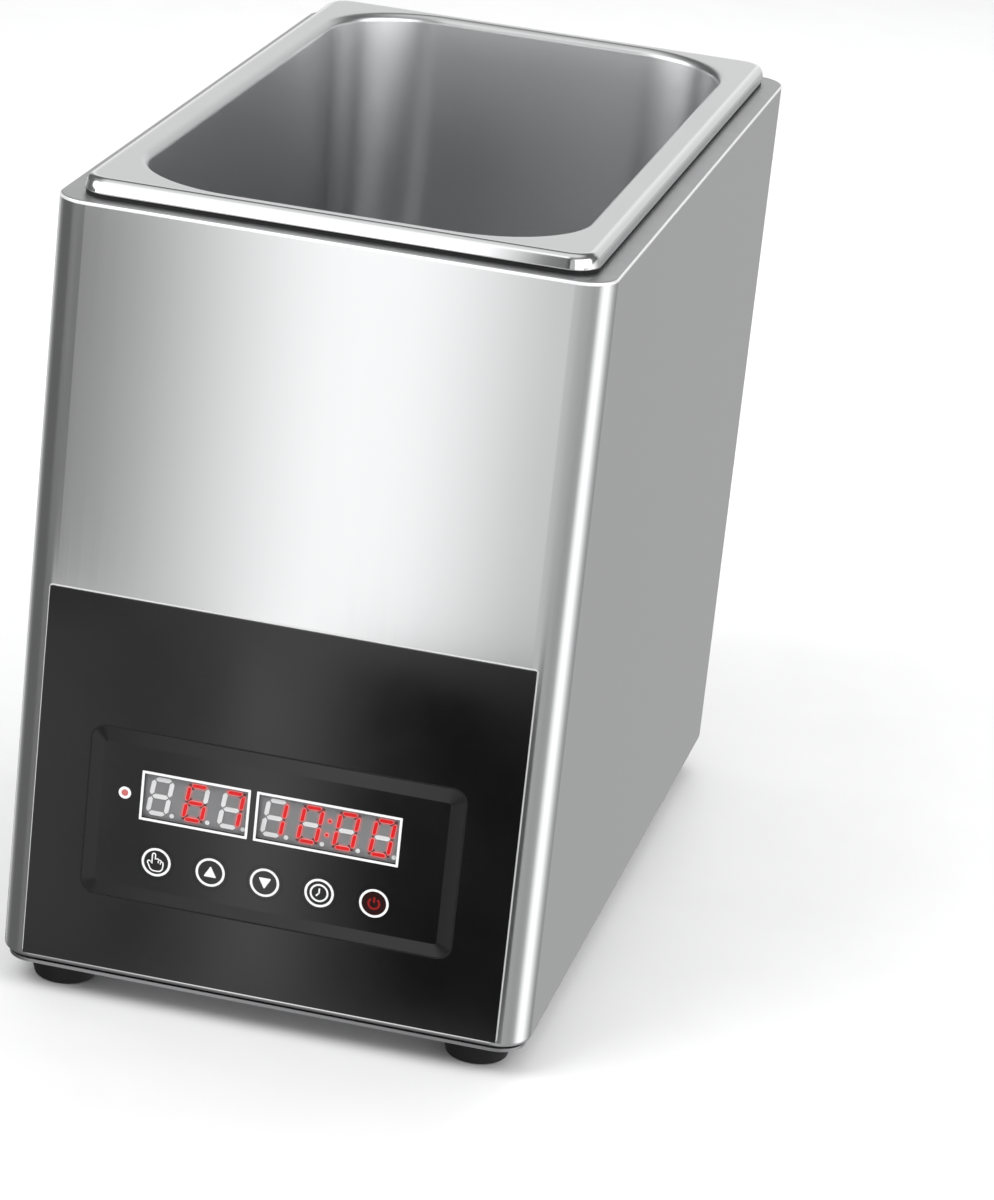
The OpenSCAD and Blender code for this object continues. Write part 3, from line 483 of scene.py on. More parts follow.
class Effects:
    """Effects that more than one finish uses, each a node group that is built once."""

    @staticmethod
    @cache
    def grain() -> Tree:
        """Fine parallel scratches: noise of very different scales along the axes, in two sizes.

        Returns:
            The group, from Vector and Stretch (cycles per metre along each axis) to Value.
        """
        tree, g, given, out = new_group("fine_grain", Vector=ORIGIN, Stretch=(900.0, 900.0, 9.0))
        place = g.vector("MULTIPLY", given[0], given[1])
        fine = g.add("TexNoise", None, Vector=place, Scale=1.0, Detail=3.0)
        broad = g.add("TexNoise", None, Vector=place, Scale=0.21, Detail=2.0)
        shares = g.math("MULTIPLY", fine.outputs[0], 0.65), g.math("MULTIPLY", broad.outputs[0], 0.35)
        g.set(out, Value=g.math("ADD", *shares))
        return tree

    @staticmethod
    @cache
    def smudge() -> Tree:
        """Slow clouds with soft edges, such as wiping marks: noise bent by another noise.

        Returns:
            The group, from Vector and Scale to Value.
        """
        tree, g, given, out = new_group("wiping_marks", Vector=ORIGIN, Scale=12.0)
        bend = g.add("TexNoise", None, Vector=given[0], Scale=7.0, Detail=1.0)
        shift = g.add("VectorMath", {"operation": "SCALE"}, i0=bend.outputs["Color"], Scale=0.06)
        place = g.vector("ADD", given[0], shift.outputs[0])
        cloud = g.add("TexNoise", None, Vector=place, Scale=given[1], Detail=4.0, Roughness=0.55)
        g.set(out, Value=g.spread(cloud.outputs[0], 0.3, 0.7))
        return tree

    @staticmethod
    @cache
    def pores() -> Tree:
        """Fine even grain of a moulded or cast surface: small noise over a field of small cells.

        Returns:
            The group, from Vector and Scale (cells per metre) to Value.
        """
        tree, g, given, out = new_group("moulded_grain", Vector=ORIGIN, Scale=1500.0)
        cells = g.add("TexVoronoi", {"feature": "SMOOTH_F1"}, Vector=given[0], Scale=given[1])
        noise = g.add("TexNoise", None, Vector=given[0], Scale=given[1], Detail=2.0)
        g.set(out, Value=g.math("ADD", g.math("MULTIPLY", cells.outputs[0], 0.5), noise.outputs[0]))
        return tree

    @staticmethod
    @cache
    def outline() -> Tree:
        """Distance from a box with round edges: outside it is positive, and inside it is negative.

        The point's distance from the middle, less half of the size without the rounding, gives the
        part beyond each face; its length, plus the largest of the three where all are inside, less
        the rounding, is the distance.

        Returns:
            The group, from Vector, Middle, Half and Rounding to Value.
        """
        tree, g, given, out = new_group(
            "distance_from_outline", Vector=ORIGIN, Middle=ORIGIN, Half=ORIGIN, Rounding=10 * MM
        )
        far = g.vector("ABSOLUTE", g.vector("SUBTRACT", given[0], given[1]))
        beyond = g.vector("ADD", g.vector("SUBTRACT", far, given[2]), given[3])
        above = g.vector("MAXIMUM", beyond)
        length = g.add("VectorMath", {"operation": "LENGTH"}, i0=above).outputs["Value"]
        x, y, z = g.add("SeparateXYZ", None, Vector=beyond).outputs
        inside = g.math("MINIMUM", g.math("MAXIMUM", g.math("MAXIMUM", x, y), z), 0.0)
        g.set(out, Value=g.math("SUBTRACT", g.math("ADD", length, inside), given[3]))
        return tree


def start_material(name: str) -> tuple[bpy.types.Material, Graph, bpy.types.Node, Socket]:
    """Makes a material with a Principled shader that is joined to its output.

    Args:
        name: The material's name.

    Returns:
        The material, its graph, the shader, and the object coordinates.
    """
    material = bpy.data.materials.new(name)
    material.use_nodes = True
    graph = Graph(material.node_tree)
    shader = graph.add("BsdfPrincipled")
    graph.add("OutputMaterial", None, Surface=shader.outputs[0])
    return material, graph, shader, graph.add("TexCoord").outputs["Object"]


@dataclass(frozen=True)
class Zone:
    """Part of a finish that lies between two distances from the outline of a round-edged box."""

    middle: Triple
    half: Triple
    rounding: float
    near: float
    far: float
    color: Color
    metallic: float | None = None
    roughness: float = 0.3
    soft: float = 0.15 * MM

    def mask(self, graph: Graph, place: Socket) -> Socket:
        """Adds the zone's mask, 1 inside of it, with soft borders.

        Args:
            graph: The material's graph.
            place: The object coordinates.

        Returns:
            The mask.
        """
        box = {"Middle": self.middle, "Half": self.half, "Rounding": self.rounding}
        distance = graph.group(Effects.outline(), Vector=place, **box)
        enters = graph.spread(distance, self.near - self.soft, self.near)
        leaves = graph.spread(distance, self.far, self.far + self.soft, 1.0, 0.0)
        return graph.math("MULTIPLY", enters, leaves)


def with_zones(
    graph: Graph, place: Socket, zones: Sequence[Zone], color: Socket, rough: Socket, metallic: Any
) -> dict[str, Any]:
    """Lays zones over a finish, one after another.

    Args:
        graph: The material's graph.
        place: The object coordinates.
        zones: The zones.
        color: The finish's own colour.
        rough: Its own roughness.
        metallic: How much of a metal it is, which a zone may leave as it is.

    Returns:
        The shader's Base_Color, Roughness and Metallic.
    """
    for zone in zones:
        mask = zone.mask(graph, place)
        color = graph.blend(mask, color, (*zone.color, 1.0))
        rough = graph.lerp(mask, rough, zone.roughness)
        if zone.metallic is not None:
            metallic = graph.lerp(mask, metallic, zone.metallic)
    return {"Base_Color": color, "Roughness": rough, "Metallic": metallic}


@dataclass(frozen=True)
class Metal:
    """Metal with scratches along one direction, slow clouds in its gloss, and zones of another finish."""

    name: str
    color: Color
    roughness: float
    stretch: tuple[float, float, float] = (900.0, 900.0, 9.0)
    scratch: float = 0.05
    relief: float = 0.02
    cloud: float = 0.04
    tint: float = 0.03
    along_surface: bool = False
    zones: tuple[Zone, ...] = ()

    def make(self) -> bpy.types.Material:
        """Builds the material: colour and roughness each take a share of the clouds and scratches.

        Returns:
            The material.
        """
        material, g, shader, place = start_material(self.name)
        path = g.add("UVMap", {"uv_map": "surface"}).outputs[0] if self.along_surface else place
        grain = g.group(Effects.grain(), Vector=path, Stretch=self.stretch)
        cloud = g.group(Effects.smudge(), Vector=place, Scale=9.0)
        scratches = g.spread(grain, 0.3, 0.7, self.roughness - self.scratch, self.roughness + self.scratch)
        rough = g.math("ADD", scratches, g.math("MULTIPLY", cloud, self.cloud))
        dark = tuple(c * (1 - self.tint) for c in self.color)
        shade = g.math("ADD", g.math("MULTIPLY", cloud, 0.5), g.math("MULTIPLY", grain, 0.5))
        color = g.ramp(shade, [(0.25, dark), (0.75, self.color)])
        bump = g.add("Bump", None, Strength=self.relief, Distance=RELIEF, Height=grain)
        g.set(shader, Normal=bump.outputs[0], **with_zones(g, place, self.zones, color, rough, 1.0))
        return material


@dataclass(frozen=True)
class Moulded:
    """Plastic, rubber or lacquer with a fine moulded grain and slow clouds in its gloss."""

    name: str
    color: Color
    roughness: float
    pores: float = 1600.0
    relief: float = 0.15
    cloud: float = 0.06
    tint: float = 0.15
    specular: float = 0.5
    zones: tuple[Zone, ...] = ()

    def make(self) -> bpy.types.Material:
        """Builds the material: clouds change its colour and gloss, and pores its relief.

        Returns:
            The material.
        """
        material, g, shader, place = start_material(self.name)
        pores = g.group(Effects.pores(), Vector=place, Scale=self.pores)
        cloud = g.group(Effects.smudge(), Vector=place, Scale=26.0)
        light = tuple(min(c * (1 + self.tint), 1.0) for c in self.color)
        bump = g.add("Bump", None, Strength=self.relief, Distance=RELIEF, Height=pores)
        rough = g.spread(cloud, 0.0, 1.0, self.roughness - self.cloud / 2, self.roughness + self.cloud / 2)
        color = g.ramp(cloud, [(0.0, self.color), (1.0, light)])
        g.set(shader, Normal=bump.outputs[0], Specular_IOR_Level=self.specular,
              **with_zones(g, place, self.zones, color, rough, 0.0))
        return material


@dataclass(frozen=True)
class Glowing:
    """Lit plastic: light comes out evenly, a little less at the edges of slow clouds."""

    name: str
    color: Color
    light: Color
    strength: float

    def make(self) -> bpy.types.Material:
        """Builds the material: the clouds dim the emission by up to a tenth.

        Returns:
            The material.
        """
        material, g, shader, place = start_material(self.name)
        cloud = g.group(Effects.smudge(), Vector=place, Scale=400.0)
        dim = tuple(c * 0.9 for c in self.light)
        glow = g.ramp(cloud, [(0.0, dim), (1.0, self.light)])
        g.set(shader, Base_Color=(*self.color, 1.0), Roughness=0.35, Emission_Color=glow,
              Emission_Strength=self.strength)
        return material


@dataclass(frozen=True)
class ClearWindow:
    """Clear film over a display: mostly see-through, with a soft gloss of its own."""

    name: str
    color: Color
    cover: float
    roughness: float

    def make(self) -> bpy.types.Material:
        """Builds the material: a haze of clouds changes how much of the film covers what is behind it.

        Returns:
            The material.
        """
        material, g, shader, place = start_material(self.name)
        cloud = g.group(Effects.smudge(), Vector=place, Scale=60.0)
        cover = g.spread(cloud, 0.0, 1.0, self.cover * 0.8, self.cover * 1.2)
        g.set(shader, Base_Color=(*self.color, 1.0), Roughness=self.roughness, Alpha=cover)
        return material


@dataclass(frozen=True)
class Fibre:
    """Mineral wool: matted fibres, in two sizes of noise that are long one way."""

    name: str
    color: Color
    shade: Color

    def make(self) -> bpy.types.Material:
        """Builds the material: the fibres' height also picks between the two colours.

        Returns:
            The material.
        """
        material, g, shader, place = start_material(self.name)
        fibres = g.group(Effects.grain(), Vector=place, Stretch=(700.0, 160.0, 500.0))
        bump = g.add("Bump", None, Strength=0.8, Distance=5 * RELIEF, Height=fibres)
        color = g.ramp(fibres, [(0.35, self.shade), (0.65, self.color)])
        g.set(shader, Base_Color=color, Roughness=0.95, Normal=bump.outputs[0])
        return material


# ---------------------------------------------------------------- finishes of the object


@dataclass
class Finishes:
    """Every finish of the object, made once, with the nodes of the construction that take each."""

    made: dict[str, bpy.types.Material] = field(default_factory=dict)
    field_middle: float = 58.3 * MM
    field_half: tuple[float, float] = (66 * MM, 31 * MM)
    field_corner: float = 5 * MM
    deck_corner: float = 12 * MM
    rim_corner: float = 10 * MM
    rim_roll: float = 2.8 * MM
    front_depth: float = 20 * MM
    through: float = 1.0

    def zones(self) -> tuple[Zone, Zone, Zone, Zone]:
        """Places the zones, whose boxes reach right through a sheet along its thickness.

        Returns:
            The bright line round the panel film on the body, a painted shade line round the film's embossed
            field, a painted highlight along the deck's outer edge, and a painted highlight along the roll of
            the pan's rim.
        """
        film, deck, pan = Box.of("front_overlay"), Box.of("top_deck"), Box.of("pan")
        film_edge = Zone(
            (film.middle.x, film.middle.y, film.middle.z + 0.3 * MM),
            (film.half.x, self.front_depth, film.half.z),
            rounding=1.0 * MM, near=0.0, far=0.35 * MM, color=(0.78, 0.78, 0.78), metallic=0.15, roughness=0.4,
        )
        # Painted shade: a near-black, rougher line round the embossed field stands in for the shade along its
        # edge
        field_shade_line = Zone(
            (film.middle.x, film.low.y, film.low.z + self.field_middle),
            (self.field_half[0], self.through, self.field_half[1]),
            rounding=self.field_corner, near=0.0, far=0.45 * MM, color=(0.001, 0.001, 0.001), roughness=0.62,
        )
        # Painted highlight: a light, less metallic band along the deck's rounded outer edge
        deck_edge_highlight = Zone(
            tuple(deck.middle), (deck.half.x, deck.half.y, self.through), rounding=self.deck_corner,
            near=-0.25 * MM, far=1.0 * MM, color=(0.93, 0.93, 0.93), metallic=0.35, roughness=0.3,
        )
        # Painted highlight: the roll of the pan's rim is painted a lighter steel; its lower roughness is a
        # glossier finish
        roll = Zone(
            tuple(pan.middle), (pan.half.x, pan.half.y, self.through), rounding=self.rim_corner,
            near=-self.rim_roll, far=5.0 * MM, color=(0.84, 0.845, 0.85), roughness=0.13, soft=1.0 * MM,
        )
        return film_edge, field_shade_line, deck_edge_highlight, roll

    def build(self) -> None:
        """Makes every finish."""
        steel = (0.80, 0.805, 0.81)
        film_edge, field_shade_line, deck_edge_highlight, roll = self.zones()
        kinds = [
            Metal("body_steel", steel, 0.16, stretch=(1500, 1500, 18), scratch=0.015, relief=0.004,
                  cloud=0.02, tint=0.015, zones=(film_edge,)),
            Metal("deck_steel", (0.62, 0.625, 0.63), 0.42, stretch=(60, 900, 900), tint=0.10,
                  zones=(deck_edge_highlight,)),
            Metal("pan_steel", (0.70, 0.705, 0.71), 0.28, stretch=(1100, 30, 1), scratch=0.004, relief=0.0,
                  tint=0.02, along_surface=True, zones=(roll,)),
            # Painted shade: the base plate's steel is painted darker than the other sheet to stand in for the
            # shade under the body
            Metal("base_steel_painted_shade", (0.40, 0.40, 0.41), 0.36, stretch=(20, 700, 700), scratch=0.06, cloud=0.1),
            Metal("plain_sheet", (0.62, 0.63, 0.64), 0.34, stretch=(20, 700, 700), scratch=0.06, cloud=0.1),
            Metal("zinc", (0.60, 0.61, 0.63), 0.32, stretch=(400, 400, 400), scratch=0.08, cloud=0.12),
            Metal("cast_aluminium", (0.74, 0.75, 0.76), 0.46, stretch=(600, 600, 600), scratch=0.1, relief=0.3),
            Metal("element_sheath", (0.34, 0.34, 0.35), 0.42, stretch=(300, 300, 300), scratch=0.1, tint=0.2),
            Metal("terminal_brass", (0.78, 0.62, 0.30), 0.30, stretch=(500, 500, 500), scratch=0.06, tint=0.1),
            Moulded("black_rubber", (0.006, 0.006, 0.006), 0.6, pores=1400, relief=0.3, specular=0.35),
            Moulded("seal_rubber", (0.014, 0.014, 0.014), 0.7, pores=1400, relief=0.3, specular=0.3),
            Moulded("panel_film", (0.0035, 0.0035, 0.0037), 0.14, pores=2600, relief=0.012, tint=0.8,
                    zones=(field_shade_line,)),
            Moulded("display_face", (0.22, 0.22, 0.225), 0.5, relief=0.03),
            Moulded("pale_segment", (0.80, 0.80, 0.80), 0.45, relief=0.03, tint=0.05),
            Moulded("white_ink", (0.86, 0.86, 0.86), 0.5, pores=5000, relief=0.08, tint=0.05),
            Moulded("dark_red_ink", (0.018, 0.001, 0.001), 0.45, pores=5000, relief=0.08, specular=0.2),
            Moulded("red_ink", (0.24, 0.006, 0.006), 0.45, pores=5000, relief=0.08, specular=0.2),
            Moulded("solder_resist", (0.02, 0.14, 0.05), 0.35, pores=900),
            Moulded("black_plastic", (0.018, 0.018, 0.019), 0.45, pores=1500),
            Moulded("white_plastic", (0.75, 0.75, 0.73), 0.4, tint=0.04),
            Moulded("ribbon_grey", (0.35, 0.35, 0.36), 0.5),
            Moulded("coil_tape", (0.66, 0.44, 0.07), 0.4, tint=0.1),
            Moulded("relay_blue", (0.03, 0.09, 0.30), 0.3, relief=0.04),
            Moulded("block_green", (0.03, 0.20, 0.09), 0.4),
            Moulded("red_sleeve", (0.50, 0.04, 0.03), 0.55),
            Moulded("white_sleeve", (0.72, 0.72, 0.70), 0.55, tint=0.05),
            Glowing("pale_red_segment", (0.62, 0.22, 0.22), (1.0, 0.26, 0.26), 0.50),
            Glowing("red_segment", (0.12, 0.0, 0.0), (1.0, 0.006, 0.010), 0.72),
            Glowing("red_shine", (0.34, 0.20, 0.20), (1.0, 0.20, 0.20), 0.09),
            Glowing("red_lamp", (0.30, 0.08, 0.08), (1.0, 0.24, 0.24), 0.46),
            ClearWindow("window_film", (0.02, 0.02, 0.02), 0.05, 0.12),
            Fibre("mineral_wool", (0.72, 0.64, 0.42), (0.42, 0.36, 0.20)),
        ]
        for kind in kinds:
            self.made[kind.name] = kind.make()

    def dress(self, frame: dict[str, Any]) -> None:
        """Gives each node of the construction its finish.
        """
        keys = ("set", "up", "down", "timer", "power")
        feet = [f"foot_{end}_{side}" for end in ("front", "rear") for side in ("left", "right")]
        worn = {
            "body_steel": ["body_shell"],
            "deck_steel": ["top_deck"],
            "pan_steel": ["pan"],
            "plain_sheet": ["well_liner", "clamp_bars", "heat_shield", "probe_clip", "temperature_probe"],
            "base_steel_painted_shade": ["base_plate"],
            "zinc": ["clamp_screws", "plate_nuts", "shield_rivets", "board_posts", "post_screws",
                     "board_spacers", "spacer_screws", "base_screws", "foot_screws", "foot_nuts"],
            "cast_aluminium": ["heater_plate"],
            "element_sheath": ["heating_element"],
            "terminal_brass": ["element_terminals"],
            "black_rubber": feet,
            "seal_rubber": ["rim_seal"],
            "panel_film": ["front_overlay", *(f"key_{key}" for key in keys)],
            "display_face": ["temp_display", "timer_display"],
            "pale_segment": ["unlit_segments"],
            "solder_resist": ["control_board", "power_board"],
            "black_plastic": ["thermal_cutout", "tact_switches", "cable_gland", "gland_nut"],
            "white_plastic": [f"stem_{key}" for key in keys],
            "ribbon_grey": ["ribbon_cable"],
            "coil_tape": ["transformer"],
            "relay_blue": ["relay"],
            "block_green": ["terminal_blocks"],
            "red_sleeve": ["heater_leads"],
            "white_sleeve": ["probe_lead"],
            "pale_red_segment": ["lit_segments"],
            "red_lamp": ["heating_lamp"],
            "window_film": ["temp_window", "timer_window"],
            "mineral_wool": ["insulation_wrap", "insulation_pad"],
        }
        given = {node: finish for finish, nodes in worn.items() for node in nodes}
        for node, piece in frame["nodes"].items():
            material = self.made[given[node]]
            piece.data.materials.clear()
            piece.data.materials.append(material)
            LOG.info("node %s wears %s", node, material.name)


# ---------------------------------------------------------------- pan


@dataclass(frozen=True)
class DrawnPan:
    """Deep-drawn pan with a rolled and hemmed rim, finer than the construction's and in its place."""

    width: float = 176 * MM
    length: float = 325 * MM
    depth: float = 150 * MM
    sheet: float = 0.8 * MM
    rim_height: float = 5.3 * MM
    rim_corner: float = 10 * MM
    roll: float = 2.8 * MM
    toe: float = 0.5 * MM
    flare_deg: float = 14.0
    hem: float = 1.8 * MM
    hem_height: float = 2.0 * MM
    rim_side: float = 12 * MM
    rim_end: float = 8.5 * MM
    well_corner: float = 38 * MM
    lead: float = 3.0 * MM
    lean: float = 7.0 * MM
    floor_round: float = 18 * MM

    def rows(self) -> Array:
        """Works out the section as a line from the underside's middle, round the rim, to the floor's.

        Each part of the line is a set of offsets from a corner's centre with heights under the rim.
        The flat of the rim carries the outer outline over into the well's, share by share.

        Returns:
            Width, length, corner radius and height of each row.
        """
        well_w, well_l = self.width - 2 * self.rim_side, self.length - 2 * self.rim_end
        r, t = self.well_corner, self.sheet
        turn = (r + self.lead, -self.lead)
        heel = (r - self.lean - self.floor_round, self.floor_round + t - self.depth)
        inside = np.vstack([
            arc_rows(turn, self.lead, 90, 180, 10),
            np.linspace((r, -self.lead), (r - self.lean, heel[1]), 14)[1:-1],
            arc_rows(heel, self.floor_round, 0, -90, 14),
        ])
        outside = np.vstack([
            arc_rows(heel, self.floor_round + t, -90, 0, 14),
            arc_rows(turn, self.lead - t, 180, 90, 6),
        ])
        toe, flare = self.toe, math.radians(self.flare_deg)
        foot = (self.rim_corner - toe, toe - self.rim_height)
        drop = toe - self.roll + (foot[1] + self.roll) * math.sin(flare)
        roll = (foot[0] + drop / math.cos(flare), -self.roll)
        rim = np.vstack([
            arc_rows(roll, self.roll - t, 90, self.flare_deg, 6),
            [[self.rim_corner - t, self.hem_height - self.rim_height],
             [self.rim_corner - self.hem, self.hem_height - self.rim_height]],
            arc_rows((self.rim_corner - self.hem + toe, foot[1]), toe, 180, 270, 4),
            arc_rows(foot, toe, -90, self.flare_deg, 4),
            arc_rows(roll, self.roll, self.flare_deg, 90, 12),
        ])

        def of_well(line: Array) -> Array:
            """Rows of a line that is measured from the well's corner centres."""
            grow = 2 * (line[:, :1] - r)
            return np.hstack([well_w + grow, well_l + grow, line])

        def of_rim(line: Array) -> Array:
            """Rows of a line that is measured from the rim's corner centres."""
            grow = 2 * (line[:, :1] - self.rim_corner)
            return np.hstack([self.width + grow, self.length + grow, line])

        def between(first: Array, last: Array, steps: int) -> Array:
            """Rows that lead evenly from one row to another."""
            return np.linspace(first, last, steps + 1)[1:-1]

        under, over = of_well(outside), of_well(inside)
        edge = of_rim(rim)
        bottom, floor = under[0].copy(), over[-1].copy()
        bottom[:3], floor[:3] = 0.0, 0.0
        lines = [
            between(bottom, under[0], 8), under, between(under[-1], edge[0], 4), edge,
            between(edge[-1], over[0], 8), over, between(over[-1], floor, 12),
        ]
        return np.vstack([bottom[None], *lines, floor[None]])

    def build(self, steel: bpy.types.Material) -> None:
        """Lofts the rows and sets the pan, in its steel, in the box of the construction's pan."""
        box = Box.of("pan")
        shell = RoundOutline(24, 10).loft(self.rows())
        place = Matrix.Translation((box.middle.x, box.middle.y, box.high.z))
        make_piece("drawn_pan", shell.mapped(place), steel, Body.PAN, 50.0, ["pan"])


# ---------------------------------------------------------------- control panel


@dataclass(frozen=True)
class PanelPrints:
    """White frames, rings and signs that are printed on the film."""

    ink: float = 0.04 * MM
    lift: float = 0.03 * MM
    frame_line: float = 0.9 * MM
    frame_corner: float = 0.25 * MM
    ring_outer: float = 5.2 * MM
    ring_line: float = 0.85 * MM
    ground_gap: float = 0.15 * MM
    lamp_ring: float = 2.2 * MM
    lamp_hole: float = 1.2 * MM
    arrow: float = 2.1 * MM
    arrow_foot: float = 0.8
    arrow_shrink: float = 0.88
    arrow_round: float = 0.25 * MM
    dial: float = 3.3 * MM
    dial_line: float = 0.65 * MM
    dial_hand: float = 0.55 * MM
    power_ring: float = 1.9 * MM
    power_line: float = 0.75 * MM
    hand_line: float = 0.45 * MM
    hand_unit: float = 1.25 * MM
    # The hand's outline in its own unit: an arc's centre, radius, first and last angle and steps,
    # or a corner where the radius is 0
    hand_arcs: tuple[tuple[float, float, float, float, float, int], ...] = (
        (-0.75, 2.1, 0.45, 180, 0, 8), (-0.3, 0.9, 0, 0, 0, 0), (0.3, 0.65, 0.42, 110, 30, 4),
        (1.05, 0.35, 0.42, 100, 30, 4), (1.6, -0.1, 0.42, 90, 0, 4), (2.0, -0.9, 0, 0, 0, 0),
        (0.65, -1.3, 1.3, 0, -90, 6), (-0.45, -1.2, 1.4, -90, -150, 6), (-2.0, -0.2, 0.45, 215, 60, 6),
        (-1.2, -0.6, 0, 0, 0, 0),
    )
    hand_creases: tuple[tuple[float, float], ...] = ((0.6, 0.55), (1.25, 0.25))

    def front_place(self, box: Box, face: float) -> Matrix:
        """Matrix that takes a drawing to the front, to the middle of a box and a little before a face."""
        return Matrix.Translation((box.middle.x, face - self.lift, box.middle.z)) @ FRONT_TURN

    def band(self, width: float, height: float, radius: float, line: float) -> Surface:
        """A closed frame of ink: rows run from the outer back edge round the front to the inner back edge.

        Args:
            width: Outer width.
            height: Outer height.
            radius: Outer corner radius.
            line: Width of the line.

        Returns:
            The frame, flat on the drawing.
        """
        inner = (width - 2 * line, height - 2 * line, max(radius - line, 0.02 * MM))
        outer = (width, height, radius)
        rows = np.array([(*outer, -self.ink), (*outer, 0), (*inner, 0), (*inner, -self.ink)])
        return RoundOutline(14, 3).loft(rows, round_rows=True)

    def ring(self, radius: float, line: float) -> Surface:
        """A round band, by its outer radius and the width of its line."""
        return self.band(2 * radius, 2 * radius, radius, line)

    def line(self, points: Sequence[tuple[float, float]], width: float) -> Surface:
        """A line of ink through a few points, which are in millimetres."""
        return stroke(np.array(points) * MM, width, self.ink)

    def triangle(self, up: bool) -> Surface:
        """A triangle with slightly rounded corners: three arcs, a third of a turn each.

        Args:
            up: Whether it points upwards.

        Returns:
            The filled triangle.
        """
        foot = -self.arrow * self.arrow_foot
        tops = ((-self.arrow, foot, 150), (self.arrow, foot, 270), (0.0, self.arrow, 30))
        outline = np.vstack([
            arc_rows((x * self.arrow_shrink, y * self.arrow_shrink), self.arrow_round, start, start + 120, 5)
            for x, y, start in tops
        ])
        return plate(outline if up else (outline * np.array([1, -1]))[::-1], self.ink)

    def clock(self) -> Surface:
        """A dial with a long hand that points up and a short one down to the left."""
        tall = self.line([(0, 1.7), (0, 0.8), (0, -0.2)], self.dial_hand)
        short = self.line([(0, 0), (-0.5, -0.6), (-1.0, -1.2)], self.dial_hand)
        return joined([self.ring(self.dial, self.dial_line), tall, short])

    def power(self) -> Surface:
        """An open ring with a bar in its gap."""
        arc = stroke(arc_rows((0, -0.1 * MM), self.power_ring, 125, 415, 30), self.power_line, self.ink)
        return joined([arc, self.line([(0, 2.3), (0, 1.3), (0, 0.3)], self.power_line)])

    def hand(self) -> Surface:
        """A pointing hand: one closed line of short arcs for finger, knuckles and palm, and two creases."""
        outline = np.vstack([arc_rows((x, y), *arc) for x, y, *arc in self.hand_arcs]) * self.hand_unit
        width = 0.8 * self.hand_line
        thin = [
            stroke(np.array([(x, y), (x, y - 0.35), (x, y - 0.7)]) * self.hand_unit, width, self.ink)
            for x, y in self.hand_creases
        ]
        return joined([stroke(outline, self.hand_line, self.ink, closed=True), *thin])

    def build(self, finishes: Finishes) -> None:
        """Prints everything in its place on the film and on the keys.

        Args:
            finishes: The object's finishes.
        """
        white = finishes.made["white_ink"]
        face = Box.of("front_overlay").low.y
        parts = []
        for window in ("temp_window", "timer_window"):
            box = Box.of(window)
            size = (2 * (half + self.frame_line) for half in (box.half.x, box.half.z))
            frame = self.band(*size, self.frame_corner, self.frame_line)
            parts.append(frame.mapped(self.front_place(box, face)))
        ring = self.ring(self.lamp_ring, self.lamp_ring - self.lamp_hole)
        parts.append(ring.mapped(self.front_place(Box.of("heating_lamp"), face)))
        make_piece("panel_print", joined(parts), white, Body.HOUSING)
        signs = {
            Body.SET: [self.hand()],
            Body.UP: [self.triangle(True)],
            Body.DOWN: [self.triangle(False)],
            Body.TIMER: [self.clock()],
            Body.POWER: [],
        }
        rim = self.ring(self.ring_outer, self.ring_line)
        for body, sign in signs.items():
            key = body.value.removesuffix("_key")
            box = Box.of("key_" + key)
            place = self.front_place(box, box.low.y)
            make_piece(f"key_print_{key}", joined([rim, *sign]).mapped(place), white, body)
        radius = self.ring_outer - self.ring_line - self.ground_gap
        ground = plate(arc_rows((0, 0), radius, 0, 360, 48)[:-1], self.ink).mapped(place)
        make_piece("power_ground", ground, finishes.made["dark_red_ink"], Body.POWER)
        power = self.power().mapped(Matrix.Translation((0, -self.ink, 0)) @ place)
        make_piece("power_sign", power, finishes.made["red_ink"], Body.POWER)


